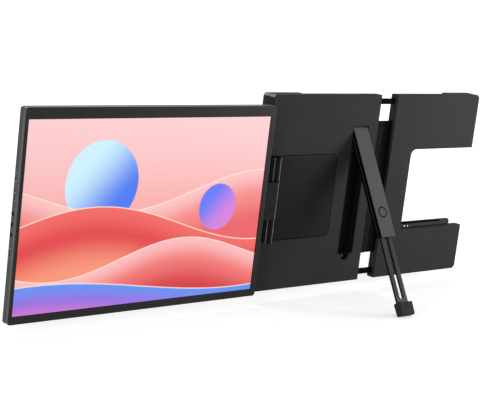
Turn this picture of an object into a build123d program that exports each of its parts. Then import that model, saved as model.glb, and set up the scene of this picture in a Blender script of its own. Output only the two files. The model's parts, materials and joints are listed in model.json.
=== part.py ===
from build123d import *

import os
from math import cos, radians, sin

# Laptop screen extender: a main panel that hooks over a laptop's lid, a clamp panel
# that slides beside it on two rails, a monitor on a fold and swivel hinge, and a
# kickstand with a telescopic leg.
# Millimetres. +X to the right as seen from behind the lid, +Y towards the lid, +Z up.
# The origin is the middle of the main panel's lid pad, where it lies on the lid.

# Panels
panel_height = 248.0
panel_depth = 12.0
main_width = 191.0
clamp_width = 168.0
clamp_gap = 30.5
cover_wall = 2.0
base_thick = 1.5
pad_thick = 0.6
pad_width = 120.0
pad_height = 16.0
pad_row_height = 90.0
pad_offset = -16.0
clamp_pad_share = 0.7
panel_corner_r = 5.0
inner_corner_r = 1.0
edge_round = 0.8
seam_inset = 0.4

# Cut-out of the clamp panel
spine_width = 42.0
upper_arm_height = 74.0
lower_arm_height = 63.5
cut_upper_r = 9.0
cut_lower_r = 2.0
clamp_corner_r = 6.0
ledge_rise = 8.0
ledge_end = 14.0
ledge_corner_r = 6.0
ledge_slot_wall = 0.8
ledge_slot_height = 2.8
ledge_slot_length = 89.0
ledge_slot_start = 3.0
ledge_slot_depth = 1.0
ledge_hold = 5.0

# Slide between the panels
close_travel = 20.0
slide_gap = 0.4
slide_plate_height = 177.0
slide_plate_thick = 3.0
slide_plate_back = 0.5
slide_flange_width = 9.3
slide_flange_rise = 1.2
slide_foot_inset = 5.8
slide_foot_width = 8.0
slide_foot_height = 16.0
slide_foot_pitch = 120.0
rail_height = 7.0
rail_thick = 4.0
rail_edge = 6.0
rail_length = 135.0
rail_hold = 40.0
rail_tab_width = 4.6
rail_tab_thick = 1.3
guide_length = 12.0
guide_wall = 1.5
guide_gap = 0.2
spring_drop = 14.0
spring_r = 2.5
spring_anchor_x = -58.0
spring_post_r = 1.3
spring_eye_gap = 0.3
spring_eye_thick = 1.0
spring_wire = 0.8

# Hooks over the lid
lid_gap = 5.8
lip_thick = 2.4
hook_wall = 6.0
lip_reach = 7.0
hook_roof_length = 57.0
hook_side_length = 50.0
low_hook_length = 44.0
low_hook_rise = 14.0
jaw_pad_thick = 1.5
jaw_pad_margin = 5.0
jaw_pad_play = 0.2

# Fold hinge
hinge_inset = 10.4
hinge_reach = 16.1
barrel_r = 5.5
barrel_length = 29.0
barrel_cap = 2.0
knuckle_height = 46.6
knuckle_round = 1.0
knuckle_gap = 0.6
hinge_play = 1.3
washer_thick = 1.0
hinge_pin_r = 2.0
hinge_pin_hold = 12.0
leaf_to_pocket = 20.8
leaf_toe = 1.4
leaf_thick = 2.0
leaf_corner_r = 9.0
leaf_groove = 0.5
leaf_bed = 1.6
leaf_screw_hold = 1.3
run_fit = 0.04
fixed_fit = 0.02

# Swivel in the hinge knuckle
swivel_r = 3.0
swivel_bush_wall = 1.0
swivel_head_r = 4.6
swivel_head_thick = 3.5
swivel_head_gap = 0.4
swivel_seat_inset = 1.0
swivel_tail = 1.2

# Monitor
active_width = 344.7
active_height = 215.4
bezel_left = 5.0
bezel_right = 7.3
bezel_top = 12.6
bezel_bottom = 8.6
monitor_depth = 12.0
monitor_gap = 0.5
monitor_corner_r = 3.5
monitor_back_round = 2.0
bezel_depth = 4.0
bezel_lip = 1.2
window_margin = 0.4
bezel_edge_round = 0.7
monitor_wall = 1.8
display_border = 1.2
display_thick = 2.2
backlight_thick = 1.2
display_play = 0.3
post_r = 2.2
post_inset = 4.4
cover_screw_hold = 2.0

# Sockets, buttons and board at the monitor's free side
port_depth = 8.3
usb_length = 8.94
usb_height = 3.26
usb_tongue_width = 6.7
hdmi_length = 11.2
hdmi_height = 3.2
hdmi_tongue_width = 8.4
socket_shell = 0.35
socket_depth = 7.4
socket_tongue_thick = 0.7
socket_tongue_depth = 4.8
socket_setback = 0.3
socket_play = 0.35
button_r = 2.0
button_play = 0.3
button_recess = 0.4
button_seat = 0.05
button_flange = 1.0
button_flange_half = 1.5
button_flange_thick = 0.8
plunger_length = 1.75
plunger_half = 1.0
button_travel = 0.5
switch_gap = 0.1
switch_size = 3.4
board_thick = 1.2
board_width = 76.0
board_port_margin = 16.1
board_edge_gap = 1.0
board_post_r = 2.2
stake_rise = 0.4
chip_size = 12.0
chip_thick = 0.7
upper_usb_place = 42.4
lower_usb_place = 21.3
first_button_place = 3.2
button_pitch = 11.6
hdmi_place = -40.0

# Swivel bracket inside the monitor
bracket_thick = 2.4
bracket_flange = 1.5
bracket_height = 50.0
bracket_length = 52.0

# Kickstand arm
stand_angle = 30.0
pocket_from_edge = 31.5
pocket_width = 28.4
pocket_gap = 1.0
pocket_drop = 1.4
pocket_corner_r = 2.5
skirt_wall = 1.5
arm_width = 26.2
arm_thick = 9.6
arm_reach = 144.6
arm_front_wall = 2.0
arm_side_wall = 3.0
arm_back_thick = 1.5
arm_solid_end = 14.0
arm_ledge = 2.0
arm_edge_round = 0.6
arm_screw_r = 0.6
arm_screw_hold = 2.5
arm_screw_length = 3.0
arm_head_r = 1.1
arm_head_thick = 0.6
kick_pin_r = 1.5
kick_washer_thick = 0.8
kick_washer_r = 3.6
notch_r = 8.5
notch_depth = 6.0
magnet_r = 2.4
magnet_rise = 1.6

# Telescopic leg and foot
leg_width = 19.4
leg_thick = 3.2
leg_depth = 4.6
leg_out = 84.1
leg_overlap = 16.6
leg_slot_width = 6.4
leg_groove_depth = 0.8
leg_corner_r = 2.0
ridge_pitch = 2.4
ridge_count = 34
ridge_width = 1.2
ridge_depth = 0.7
ridge_from_foot = 8.0
guide_pin_r = 2.5
guide_pin_inset = 6.7
foot_gap = 0.4
foot_width = 26.0
foot_height = 17.6
foot_proud = 0.3
foot_depth = 10.5
foot_round = 3.4
foot_socket = 11.0
foot_play = 0.05

# Release button and latch of the leg
release_from_end = 32.6
release_r = 6.1
release_play = 0.3
release_ring = 0.9
release_ring_depth = 0.9
release_seat = 0.05
release_flange = 1.0
release_flange_thick = 0.45
release_stem_r = 0.8
latch_width = 5.0
latch_thick = 1.0
latch_lift = 1.0
latch_arm = 10.0
latch_tail = 2.0
latch_tooth_arm = 9.0
latch_tooth_width = 17.0
latch_tooth_height = 0.45
latch_bar = 3.0
latch_pin_r = 0.5
latch_eye_r = 1.0
latch_eye_gap = 0.3
latch_ear = 1.5
latch_ear_gap = 0.6
latch_contact = 0.1
latch_spring_r = 1.2
latch_spring_wide = 0.4
latch_spring_wire = 0.4
latch_spring_leg = 4.0

# Screws
screw_r = 1.0
screw_head_r = 1.9
screw_head_depth = 0.9
screw_length = 6.0
screw_play = 0.05
screw_edge = 0.4
boss_r = 3.0
boss_inset = 20.0
small_screw_r = 0.8
pan_head_r = 1.6
pan_head_thick = 1.2
blind_depth = 3.5

# Where fasteners and inner pieces sit, as shares of the piece that carries them
boss_row_share = 0.6
middle_row_share = 0.24
arm_boss_shares = (0.25, 0.85)
roof_screw_shares = (0.45, 0.85)
side_screw_shares = (0.3, 0.85)
low_screw_shares = (0.2, 0.8)
rail_screw_shares = (0.3, 0.75)
leaf_screw_shares = (0.25, 0.88)
leaf_row_share = 0.38
cover_screw_shares = (-0.42, 0, 0.42)
bracket_screw_shares = (0.3, 0.85)
bracket_row_share = 0.36
stake_shares = (0.35, 0.9)
stake_row_share = 0.42
support_share = 0.24
chip_shares = (-0.2, 0.22)
chip_row_share = 0.6
arm_screw_shares = (0.16, 0.9)

# Cuts run past the faces they open by this much
overrun = 2.0

# Depths of the layers, from the lid back
y_base = -pad_thick
y_seam = y_base - base_thick
y_rear = y_base - panel_depth
y_inside = y_rear + cover_wall
y_mid = (y_inside + y_seam) / 2
y_leaf = y_rear + leaf_thick
y_bed = y_leaf + leaf_bed
y_notch = y_rear + notch_depth
y_lip = lid_gap
y_lip_out = lid_gap + lip_thick
y_slide_rear = y_mid - slide_plate_thick / 2
y_rail_rear = y_mid - rail_thick / 2
y_rail_front = y_mid + rail_thick / 2
y_tab = y_rail_front - rail_tab_thick

# Edges of the panels and of the slide between them
main_half = main_width / 2
top = panel_height / 2
clamp_left = main_half + clamp_gap
clamp_right = clamp_left + clamp_width
cut_left = clamp_left + spine_width
pocket_x = main_half - pocket_from_edge
pocket_left = pocket_x - pocket_width / 2
pocket_right = pocket_x + pocket_width / 2
cut_top = top - upper_arm_height
cut_bottom = lower_arm_height - top
ledge_length = clamp_right - ledge_end - cut_left + cut_lower_r
ledge_z = cut_bottom + (ledge_rise - ledge_hold) / 2
ledge_slot_z = cut_bottom + ledge_rise - ledge_slot_wall - ledge_slot_height / 2
rail_top = top - rail_edge
rail_bottom = rail_top - rail_height
rail_z = (rail_top + rail_bottom) / 2
upper_rail_span = (rail_bottom, rail_top)
lower_rail_span = (-rail_top, -rail_bottom)
rail_right = clamp_left + rail_hold
rail_left = rail_right - rail_length
rail_hook_x = rail_left + rail_tab_width / 2
spring_z = rail_z - spring_drop
eye_r = spring_post_r + spring_eye_gap + spring_wire
spring_anchors = [(spring_anchor_x, spring_z), (spring_anchor_x, -spring_z)]
spring_hooks = [(rail_hook_x, spring_z), (rail_hook_x, -spring_z)]
guide_right = main_half - cover_wall - guide_gap
guide_left = guide_right - guide_length
wall_slots = (
    (-slide_plate_height / 2, slide_plate_height / 2, y_slide_rear),
    (*upper_rail_span, y_rail_rear),
    (*lower_rail_span, y_rail_rear),
)

# Monitor and hinge
monitor_width = active_width + bezel_left + bezel_right
monitor_height = active_height + bezel_top + bezel_bottom
hinge_x = hinge_inset - main_half
hinge_z = monitor_height / 2 - top
y_back = y_rear - monitor_gap
y_hinge = y_back - monitor_depth / 2
y_front = y_back - monitor_depth
monitor_right = hinge_x - hinge_reach
monitor_left = monitor_right - monitor_width
monitor_x = (monitor_left + monitor_right) / 2
monitor_top = hinge_z + monitor_height / 2
monitor_low = hinge_z - monitor_height / 2
active_x = (monitor_left + bezel_left + monitor_right - bezel_right) / 2
active_z = (monitor_low + bezel_bottom + monitor_top - bezel_top) / 2
y_bezel = y_front + bezel_depth
y_display = y_front + bezel_lip
y_backlight = y_display + display_thick
y_backlight_back = y_backlight + backlight_thick
y_cavity = y_back - monitor_wall
y_port = y_front + port_depth
y_board_back = y_port - usb_height / 2
y_board_front = y_board_back - board_thick
leaf_left = hinge_x - barrel_r - leaf_toe
leaf_right = pocket_left - skirt_wall - leaf_to_pocket
leaf_width = leaf_right - leaf_left
leaf_height = knuckle_height + 2 * hinge_play + 2 * barrel_length
knuckle_top = hinge_z + knuckle_height / 2
knuckle_low = hinge_z - knuckle_height / 2
knuckle_left = monitor_right + knuckle_gap
barrel_starts = (knuckle_top + hinge_play, knuckle_low - hinge_play - barrel_length)
pin_length = hinge_pin_hold + hinge_play + barrel_length - barrel_cap
pin_starts = (knuckle_top - hinge_pin_hold, knuckle_low + hinge_pin_hold - pin_length)
pin_bore_starts = (knuckle_top - hinge_pin_hold - slide_gap, knuckle_low - overrun)
bush_r = swivel_r + run_fit + swivel_bush_wall
swivel_seat = hinge_x - swivel_seat_inset
swivel_place = ((y_hinge, hinge_z),)
bracket_x = monitor_right - monitor_wall
swivel_wall_hole = Plane.YZ.offset(bracket_x - overrun)

# Sockets, buttons and board
port_wall = Plane.YZ.offset(monitor_left - overrun)
hdmi_front = Plane.YZ.offset(monitor_left + socket_setback)
usb_places = (hinge_z + upper_usb_place, hinge_z + lower_usb_place)
hdmi_z = hinge_z + hdmi_place
button_places = [hinge_z + first_button_place - step * button_pitch for step in range(3)]
flange_x = monitor_left + monitor_wall + button_seat
plunger_x = flange_x + plunger_length
board_x = monitor_left + monitor_wall + board_edge_gap
board_height = 2 * (upper_usb_place + usb_length / 2 + board_port_margin)

# Kickstand: the pivot lies at half the arm's thickness below the rear face
arm_end_r = arm_thick / 2
arm_half = arm_width / 2
cavity_half = arm_half - arm_side_wall
arm_cover_depth = arm_thick - arm_back_thick
stowed_length = arm_reach + foot_gap + foot_height
pivot_z = (stowed_length - arm_end_r) / 2 - pocket_drop
pivot_y = y_rear + arm_end_r
pocket_top = pivot_z + arm_end_r + pocket_gap
pocket_low = pivot_z - stowed_length - pocket_gap
notch_place = ((pocket_x, pocket_low),)
slide_plate_left = pocket_right + skirt_wall + slide_plate_back
slide_plate_right = cut_left - cover_wall - close_travel - 2 * slide_gap

# The arm's own plane passes through the pivot: x across, y up the arm, z out of its face
stand_turn = radians(stand_angle)
arm_plane = Plane(
    origin=(pocket_x, pivot_y, pivot_z),
    x_dir=(1, 0, 0),
    z_dir=(0, -cos(stand_turn), sin(stand_turn)),
)
arm_out = Axis((0, 0, 0), (0, -cos(stand_turn), sin(stand_turn)))
arm_down = Axis((0, 0, 0), (0, -sin(stand_turn), -cos(stand_turn)))

# Distances down the arm from its pivot, and depths below its face
release_s = arm_reach - release_from_end
release_flange_depth = arm_front_wall + release_seat
latch_s = release_s + latch_arm
latch_v = arm_front_wall + latch_eye_gap + latch_eye_r
latch_top = arm_front_wall + latch_lift
latch_ear_in = latch_width / 2 + latch_ear_gap
latch_pin_length = 2 * (latch_ear_in + latch_ear)
latch_axis = Plane(
    origin=arm_plane.from_local_coords((-latch_pin_length / 2, -latch_s, arm_end_r - latch_v)),
    x_dir=(0, 1, 0),
    z_dir=(1, 0, 0),
)
guide_pin_s = arm_reach - guide_pin_inset
leg_top_s = arm_reach - leg_overlap
foot_top_s = arm_reach + foot_gap + leg_out
leg_low_s = foot_top_s + foot_socket
slot_top_s = guide_pin_s - guide_pin_r - slide_gap
slot_low_s = slot_top_s + leg_out + 2 * guide_pin_r + 2 * slide_gap
arm_screw_places = [
    (side * (arm_half - arm_side_wall / 2), -arm_reach * share)
    for share in arm_screw_shares
    for side in (1, -1)
]


def lid_layer(y):
    """A sketch plane parallel to the lid at depth y, drawn as seen from behind."""
    return Plane.XZ.offset(-y)


def arm_layer(depth):
    """A sketch plane in the kickstand's arm, a given depth below its face."""
    return arm_plane.offset(arm_end_r - depth)


def block(x_low, x_high, y_low, y_high, z_low, z_high, mode=Mode.ADD):
    """A plain block between three pairs of limits."""
    middle = ((x_low + x_high) / 2, (y_low + y_high) / 2, (z_low + z_high) / 2)
    with Locations(middle):
        Box(x_high - x_low, y_high - y_low, z_high - z_low, mode=mode)


def rod(plane, radius, length, places=((0, 0),), mode=Mode.ADD):
    """Round rods of one size that start on a plane and run along its normal."""
    with BuildSketch(plane) as section:
        with Locations(*places):
            Circle(radius)
    extrude(section.sketch, amount=length, mode=mode)


def tube(plane, outer_r, inner_r, length, places=((0, 0),)):
    """Round tubes of one size that start on a plane and run along its normal."""
    with BuildSketch(plane) as section:
        with Locations(*places):
            Circle(outer_r)
            Circle(inner_r, mode=Mode.SUBTRACT)
    extrude(section.sketch, amount=length)


def bar(plane, x_low, x_high, y_low, y_high, length, mode=Mode.ADD):
    """A rectangular bar that starts on a plane and runs along its normal."""
    with BuildSketch(plane) as section:
        with Locations(((x_low + x_high) / 2, (y_low + y_high) / 2)):
            Rectangle(x_high - x_low, y_high - y_low)
    extrude(section.sketch, amount=length, mode=mode)


def at_lid_side(places, y):
    """Locations at depth y whose drilling direction runs away from the lid."""
    return [Location((x, y, z), (-90, 0, 0)) for x, z in places]


def countersinks(places, y, radius, head_r):
    """Countersunk through holes, entered from the lid side."""
    with Locations(*at_lid_side(places, y)):
        CounterSinkHole(radius + screw_play, head_r + screw_play, counter_sink_angle=90)


def flat_screws(places, y, length):
    """Countersunk screws with their heads flush at depth y."""
    upper = (Align.CENTER, Align.CENTER, Align.MAX)
    with Locations(*at_lid_side(places, y)):
        Cone(screw_r, screw_head_r, screw_head_depth, align=upper)
        Cylinder(screw_r, length, align=upper)


def shaft_frame(places, y, towards_lid):
    """A plane at depth y that looks along the screws, and the places drawn on it."""
    side = 1 if towards_lid else -1
    plane = Plane(origin=(0, y, 0), x_dir=(1, 0, 0), z_dir=(0, side, 0))
    return plane, [(x, -side * z) for x, z in places]


def pan_screws(places, y, length, towards_lid):
    """Round-headed screws whose heads rest on a wall at depth y."""
    plane, spots = shaft_frame(places, y, towards_lid)
    rod(plane, small_screw_r, length, spots)
    rod(plane, pan_head_r, -pan_head_thick, spots)


def blind_holes(places, y, depth, towards_lid):
    """Holes of the round-headed screws, from depth y on."""
    plane, spots = shaft_frame(places, y, towards_lid)
    rod(plane, small_screw_r + screw_play, depth, spots, Mode.SUBTRACT)


# Places of the fasteners, as (x, z)
edge_boss_x = (pocket_right + skirt_wall + main_half - cover_wall) / 2
edge_boss_z = (slide_plate_height / 2 + rail_bottom) / 2
main_bosses = [
    (x, side * z)
    for x, z in (
        (boss_inset - main_half, top * boss_row_share),
        (0, top * boss_row_share),
        (pocket_left - skirt_wall - 2 * boss_r, top * middle_row_share),
        (edge_boss_x, edge_boss_z),
    )
    for side in (1, -1)
]
arm_length = clamp_right - cut_left
upper_middle = (cut_top + top) / 2
lower_middle = (cut_bottom - top) / 2
clamp_bosses = [(cut_left - boss_inset, side * edge_boss_z) for side in (1, -1)]
for share in arm_boss_shares:
    clamp_bosses.append((cut_left + arm_length * share, upper_middle))
    clamp_bosses.append((cut_left + arm_length * share, lower_middle))

hook_screw_inset = cover_wall + pan_head_r + screw_edge
hook_screw_length = base_thick + blind_depth - screw_edge
side_screws = [top - hook_side_length * share for share in side_screw_shares]
low_hook_low = low_hook_rise - top
low_screws = [low_hook_low + low_hook_length * share for share in low_screw_shares]


def hook_screw_places(edge_x, inward):
    """Screw places of the upper and the lower hook at one edge of the device."""
    wall_x = edge_x + inward * hook_screw_inset
    roof_z = top - hook_screw_inset
    roof = [(edge_x + inward * hook_roof_length * share, roof_z) for share in roof_screw_shares]
    side = [(wall_x, z) for z in side_screws]
    low = [(wall_x, z) for z in low_screws]
    return roof + side, low


left_upper_places, left_lower_places = hook_screw_places(-main_half, 1)
right_upper_places, right_lower_places = hook_screw_places(clamp_right, -1)
slide_foot_x = slide_plate_left + slide_foot_inset
slide_screw_places = [(slide_foot_x, side * slide_foot_pitch / 2) for side in (1, -1)]
rail_screw_places = [
    (clamp_left + rail_hold * share, side * rail_z) for share in rail_screw_shares for side in (1, -1)
]
leaf_screw_places = [
    (leaf_left + leaf_width * share, hinge_z + side * leaf_height * leaf_row_share)
    for share in leaf_screw_shares
    for side in (1, -1)
]
cover_screw_places = [
    (monitor_x + monitor_width * share, z)
    for share in cover_screw_shares
    for z in (monitor_top - post_inset, monitor_low + post_inset)
]
bracket_screw_places = [
    (bracket_x - bracket_length * share, hinge_z + side * bracket_height * bracket_row_share)
    for share in bracket_screw_shares
    for side in (1, -1)
]
stake_places = [
    (board_x + board_width * share, hinge_z + side * board_height * stake_row_share)
    for share in stake_shares
    for side in (1, -1)
]
support_places = [
    (active_x + side_x * active_width * support_share, active_z + side_z * active_height * support_share)
    for side_x in (1, -1)
    for side_z in (1, -1)
]

# Main panel: rear cover
with BuildPart() as main_rear_cover:
    with BuildSketch(lid_layer(y_seam)) as shell:
        Rectangle(main_width, panel_height)
        fillet(shell.vertices().group_by(Axis.X)[0], panel_corner_r)
        fillet(shell.vertices().group_by(Axis.X)[-1], inner_corner_r)
    extrude(amount=y_seam - y_rear)
    fillet(main_rear_cover.faces().sort_by(Axis.Y)[0].outer_wire().edges(), edge_round)
    with BuildSketch(lid_layer(y_seam)) as hollow:
        Rectangle(main_width - 2 * cover_wall, panel_height - 2 * cover_wall)
    extrude(amount=y_seam - y_inside, mode=Mode.SUBTRACT)
    # Thick bed behind the hinge leaf, then the leaf's recess with its fine groove
    block(
        cover_wall - main_half, leaf_right + leaf_groove + cover_wall, y_inside, y_bed,
        hinge_z - leaf_height / 2 - leaf_groove - cover_wall,
        hinge_z + leaf_height / 2 + leaf_groove + cover_wall,
    )
    with BuildSketch(lid_layer(y_leaf)) as recess:
        with Locations(((leaf_right + leaf_groove - main_half - overrun) / 2, hinge_z)):
            Rectangle(leaf_right + leaf_groove + main_half + overrun, leaf_height + 2 * leaf_groove)
        fillet(recess.vertices().group_by(Axis.X)[-1], leaf_corner_r + leaf_groove)
    extrude(amount=leaf_thick + overrun, mode=Mode.SUBTRACT)
    blind_holes(leaf_screw_places, y_bed + overrun, leaf_bed + 2 * overrun, False)
    # Walls of the kickstand's pocket and the cup of the finger notch
    block(
        pocket_left - skirt_wall, pocket_right + skirt_wall, y_inside, y_seam,
        pocket_low - skirt_wall, pocket_top + skirt_wall,
    )
    rod(lid_layer(y_notch + skirt_wall), notch_r + skirt_wall, y_notch + skirt_wall - y_inside, notch_place)
    with BuildSketch(lid_layer(y_seam)) as pocket:
        with Locations((pocket_x, (pocket_low + pocket_top) / 2)):
            RectangleRounded(pocket_width, pocket_top - pocket_low, pocket_corner_r)
    extrude(amount=y_seam - y_rear + overrun, mode=Mode.SUBTRACT)
    rod(lid_layer(y_notch), notch_r, y_notch - y_rear + overrun, notch_place, Mode.SUBTRACT)
    rod(
        Plane.YZ.offset(pocket_left - skirt_wall - overrun), kick_pin_r + fixed_fit,
        pocket_width + 2 * skirt_wall + 2 * overrun, ((pivot_y, pivot_z),), Mode.SUBTRACT,
    )
    # Screw bosses
    rod(lid_layer(y_seam), boss_r, y_seam - y_inside, main_bosses)
    rod(lid_layer(y_seam), screw_r + screw_play, screw_length, main_bosses, Mode.SUBTRACT)
    # Slots of the slide plate and the rails in the inner side wall
    for low, high, rear in wall_slots:
        block(
            main_half - cover_wall - overrun, main_half + overrun, rear - slide_gap,
            y_seam + overrun, low - slide_gap, high + slide_gap, Mode.SUBTRACT,
        )

# Main panel: base plate against the lid
with BuildPart() as main_base_plate:
    with BuildSketch(lid_layer(y_base)) as plate:
        Rectangle(main_width - 2 * seam_inset, panel_height - 2 * seam_inset)
        fillet(plate.vertices().group_by(Axis.X)[0], panel_corner_r - seam_inset)
    extrude(amount=base_thick)
    countersinks(main_bosses + slide_screw_places, y_base, screw_r, screw_head_r)
    blind_holes(left_upper_places + left_lower_places, y_seam - overrun, base_thick + 2 * overrun, True)

with BuildPart() as main_base_screws:
    flat_screws(main_bosses, y_base, screw_length)

# Rubber pads between the base plate and the lid
with BuildPart() as main_lid_pads:
    for z in (-pad_row_height, 0, pad_row_height):
        block(-pad_width / 2, pad_width / 2, y_base, 0, z - pad_height / 2, z + pad_height / 2)


def corner_hook(edge_x, inward):
    """Upper hook: an L-shaped wall on the base plate with a wider lip in front of the lid."""
    for y_start, y_end, band in ((y_base, y_lip, hook_wall), (y_lip, y_lip_out, hook_wall + lip_reach)):
        with BuildSketch(lid_layer(y_end)) as outline:
            with Locations((edge_x + inward * hook_roof_length / 2, top - band / 2)):
                Rectangle(hook_roof_length, band)
            with Locations((edge_x + inward * band / 2, top - hook_side_length / 2)):
                Rectangle(band, hook_side_length)
            corner = outline.vertices().sort_by_distance((edge_x, top, 0))[0]
            fillet(corner, panel_corner_r)
        extrude(outline.sketch, amount=y_end - y_start)


def side_hook(edge_x, inward):
    """Lower hook: a straight wall on the base plate with a lip in front of the lid."""
    for y_start, y_end, band in ((y_base, y_lip, hook_wall), (y_lip, y_lip_out, hook_wall + lip_reach)):
        near, far = sorted((edge_x, edge_x + inward * band))
        bar(lid_layer(y_end), near, far, low_hook_low, low_hook_low + low_hook_length, y_end - y_start)


def jaw_pads(edge_x, inward):
    """Rubber pads on the inner walls of the upper and lower hook at one edge."""
    wall = edge_x + inward * hook_wall
    near, far = sorted((wall, wall + inward * jaw_pad_thick))
    upper = (top - hook_side_length + jaw_pad_margin, top - hook_wall - jaw_pad_margin)
    lower = (low_hook_low + jaw_pad_margin, low_hook_low + low_hook_length - jaw_pad_margin)
    for low, high in (upper, lower):
        block(near, far, jaw_pad_play, lid_gap - jaw_pad_play, low, high)


def soften_lip(hook):
    """Rounds the edge of the lip's outer face."""
    fillet(hook.faces().sort_by(Axis.Y)[-1].outer_wire().edges(), edge_round)


with BuildPart() as upper_left_hook:
    corner_hook(-main_half, 1)
    soften_lip(upper_left_hook)
    blind_holes(left_upper_places, y_base, blind_depth, True)

with BuildPart() as lower_left_hook:
    side_hook(-main_half, 1)
    soften_lip(lower_left_hook)
    blind_holes(left_lower_places, y_base, blind_depth, True)

with BuildPart() as left_hook_screws:
    pan_screws(left_upper_places + left_lower_places, y_seam, hook_screw_length, True)

with BuildPart() as left_jaw_pads:
    jaw_pads(-main_half, 1)

# Fold hinge: leaf with two barrels
with BuildPart() as hinge_leaf:
    with BuildSketch(lid_layer(y_leaf)) as leaf:
        with Locations(((leaf_left + leaf_right) / 2, hinge_z)):
            Rectangle(leaf_width, leaf_height)
        fillet(leaf.vertices().group_by(Axis.X)[-1], leaf_corner_r)
    extrude(amount=leaf_thick)
    for start in barrel_starts:
        rod(Plane.XY.offset(start), barrel_r, barrel_length, ((hinge_x, y_hinge),))
        block(hinge_x - barrel_r, hinge_x + barrel_r, y_hinge, y_rear, start, start + barrel_length)
    for start in pin_starts:
        rod(Plane.XY.offset(start), hinge_pin_r + fixed_fit, pin_length, ((hinge_x, y_hinge),), Mode.SUBTRACT)
    blind_holes(leaf_screw_places, y_leaf, leaf_screw_hold + screw_edge, False)

with BuildPart() as hinge_leaf_screws:
    pan_screws(leaf_screw_places, y_bed, leaf_bed + leaf_screw_hold, False)

with BuildPart() as hinge_pins:
    for start in pin_starts:
        rod(Plane.XY.offset(start), hinge_pin_r, pin_length, ((hinge_x, y_hinge),))

with BuildPart() as hinge_washers:
    for side in (1, -1):
        middle = hinge_z + side * (knuckle_height + hinge_play) / 2
        tube(
            Plane.XY.offset(middle - washer_thick / 2), barrel_r - edge_round, hinge_pin_r + fixed_fit,
            washer_thick, ((hinge_x, y_hinge),),
        )

# Kickstand's pivot and stow magnet
with BuildPart() as kickstand_pin:
    rod(
        Plane.YZ.offset(pocket_left - skirt_wall), kick_pin_r, pocket_width + 2 * skirt_wall,
        ((pivot_y, pivot_z),),
    )

with BuildPart() as kickstand_washers:
    for side in (1, -1):
        middle = pocket_x + side * (pocket_width + arm_width) / 4
        tube(
            Plane.YZ.offset(middle - kick_washer_thick / 2), kick_washer_r, kick_pin_r + fixed_fit,
            kick_washer_thick, ((pivot_y, pivot_z),),
        )

with BuildPart() as stow_magnet:
    rod(lid_layer(y_notch), magnet_r, magnet_rise, ((pocket_x, pocket_low - notch_r / 2),))
    fillet(stow_magnet.faces().sort_by(Axis.Y)[0].edges(), magnet_rise / 4)

# Slide plate that bridges the gap, fixed to the main base plate
with BuildPart() as slide_plate:
    block(
        slide_plate_left, slide_plate_right, y_slide_rear, y_slide_rear + slide_plate_thick,
        -slide_plate_height / 2, slide_plate_height / 2,
    )
    block(
        main_half + slide_gap, main_half + slide_flange_width, y_slide_rear - slide_flange_rise,
        y_slide_rear, -slide_plate_height / 2, slide_plate_height / 2,
    )
    for x, z in slide_screw_places:
        block(
            x - slide_foot_width / 2, x + slide_foot_width / 2, y_slide_rear + slide_plate_thick, y_seam,
            z - slide_foot_height / 2, z + slide_foot_height / 2,
        )
    rod(lid_layer(y_seam), screw_r + screw_play, screw_length - base_thick, slide_screw_places, Mode.SUBTRACT)

with BuildPart() as slide_plate_screws:
    flat_screws(slide_screw_places, y_base, screw_length - screw_edge)

with BuildPart() as rail_guides:
    for low, high in (upper_rail_span, lower_rail_span):
        block(
            guide_left, guide_right, y_rail_rear - slide_gap - guide_wall, y_seam,
            low - slide_gap - guide_wall, high + slide_gap + guide_wall,
        )
        block(
            guide_left - overrun, guide_right + overrun, y_rail_rear - slide_gap,
            y_rail_front + slide_gap, low - slide_gap, high + slide_gap, Mode.SUBTRACT,
        )

with BuildPart() as spring_posts:
    rod(lid_layer(y_seam), spring_post_r, y_seam - y_rail_rear, spring_anchors)

# Extension springs drawn as close-wound rods with an eye at each end
with BuildPart() as clamp_springs:
    for anchor, hook_end in zip(spring_anchors, spring_hooks):
        eye_layer = lid_layer(y_mid + spring_eye_thick / 2)
        rod(
            Plane.YZ.offset(anchor[0] + eye_r), spring_r, hook_end[0] - anchor[0] - 2 * eye_r,
            ((y_mid, anchor[1]),),
        )
        for eye in (anchor, hook_end):
            rod(eye_layer, eye_r + spring_eye_gap, spring_eye_thick, (eye,))
            rod(eye_layer, spring_post_r + spring_eye_gap, spring_eye_thick, (eye,), Mode.SUBTRACT)


def clamp_outline(y, inset):
    """The clamp panel's C-shaped outline, drawn in from its edges by an inset."""
    near = clamp_left + inset
    far = clamp_right - inset
    inner = cut_left - inset
    high = top - inset
    with BuildSketch(lid_layer(y)) as outline:
        with BuildLine():
            Polyline(
                (near, -high), (far, -high), (far, cut_bottom - inset), (inner, cut_bottom - inset),
                (inner, cut_top + inset), (far, cut_top + inset), (far, high), (near, high), close=True,
            )
        make_face()
        for x, z, radius in (
            (far, -high, clamp_corner_r - inset),
            (far, high, clamp_corner_r - inset),
            (inner, cut_top + inset, cut_upper_r + inset),
            (inner, cut_bottom - inset, cut_lower_r + inset),
        ):
            fillet(outline.vertices().sort_by_distance((x, z, 0))[0], radius)
    return outline.sketch


# Clamp panel: rear cover
with BuildPart() as clamp_rear_cover:
    extrude(clamp_outline(y_seam, 0), amount=y_seam - y_rear)
    fillet(clamp_rear_cover.faces().sort_by(Axis.Y)[0].outer_wire().edges(), edge_round)
    extrude(clamp_outline(y_seam, cover_wall), amount=y_seam - y_inside, mode=Mode.SUBTRACT)
    rod(lid_layer(y_seam), boss_r, y_seam - y_inside, clamp_bosses)
    rod(lid_layer(y_seam), screw_r + screw_play, screw_length, clamp_bosses, Mode.SUBTRACT)
    for low, high, rear in wall_slots:
        block(
            clamp_left - overrun, clamp_left + cover_wall + overrun, rear - slide_gap,
            y_seam + overrun, low - slide_gap, high + slide_gap, Mode.SUBTRACT,
        )

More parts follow.
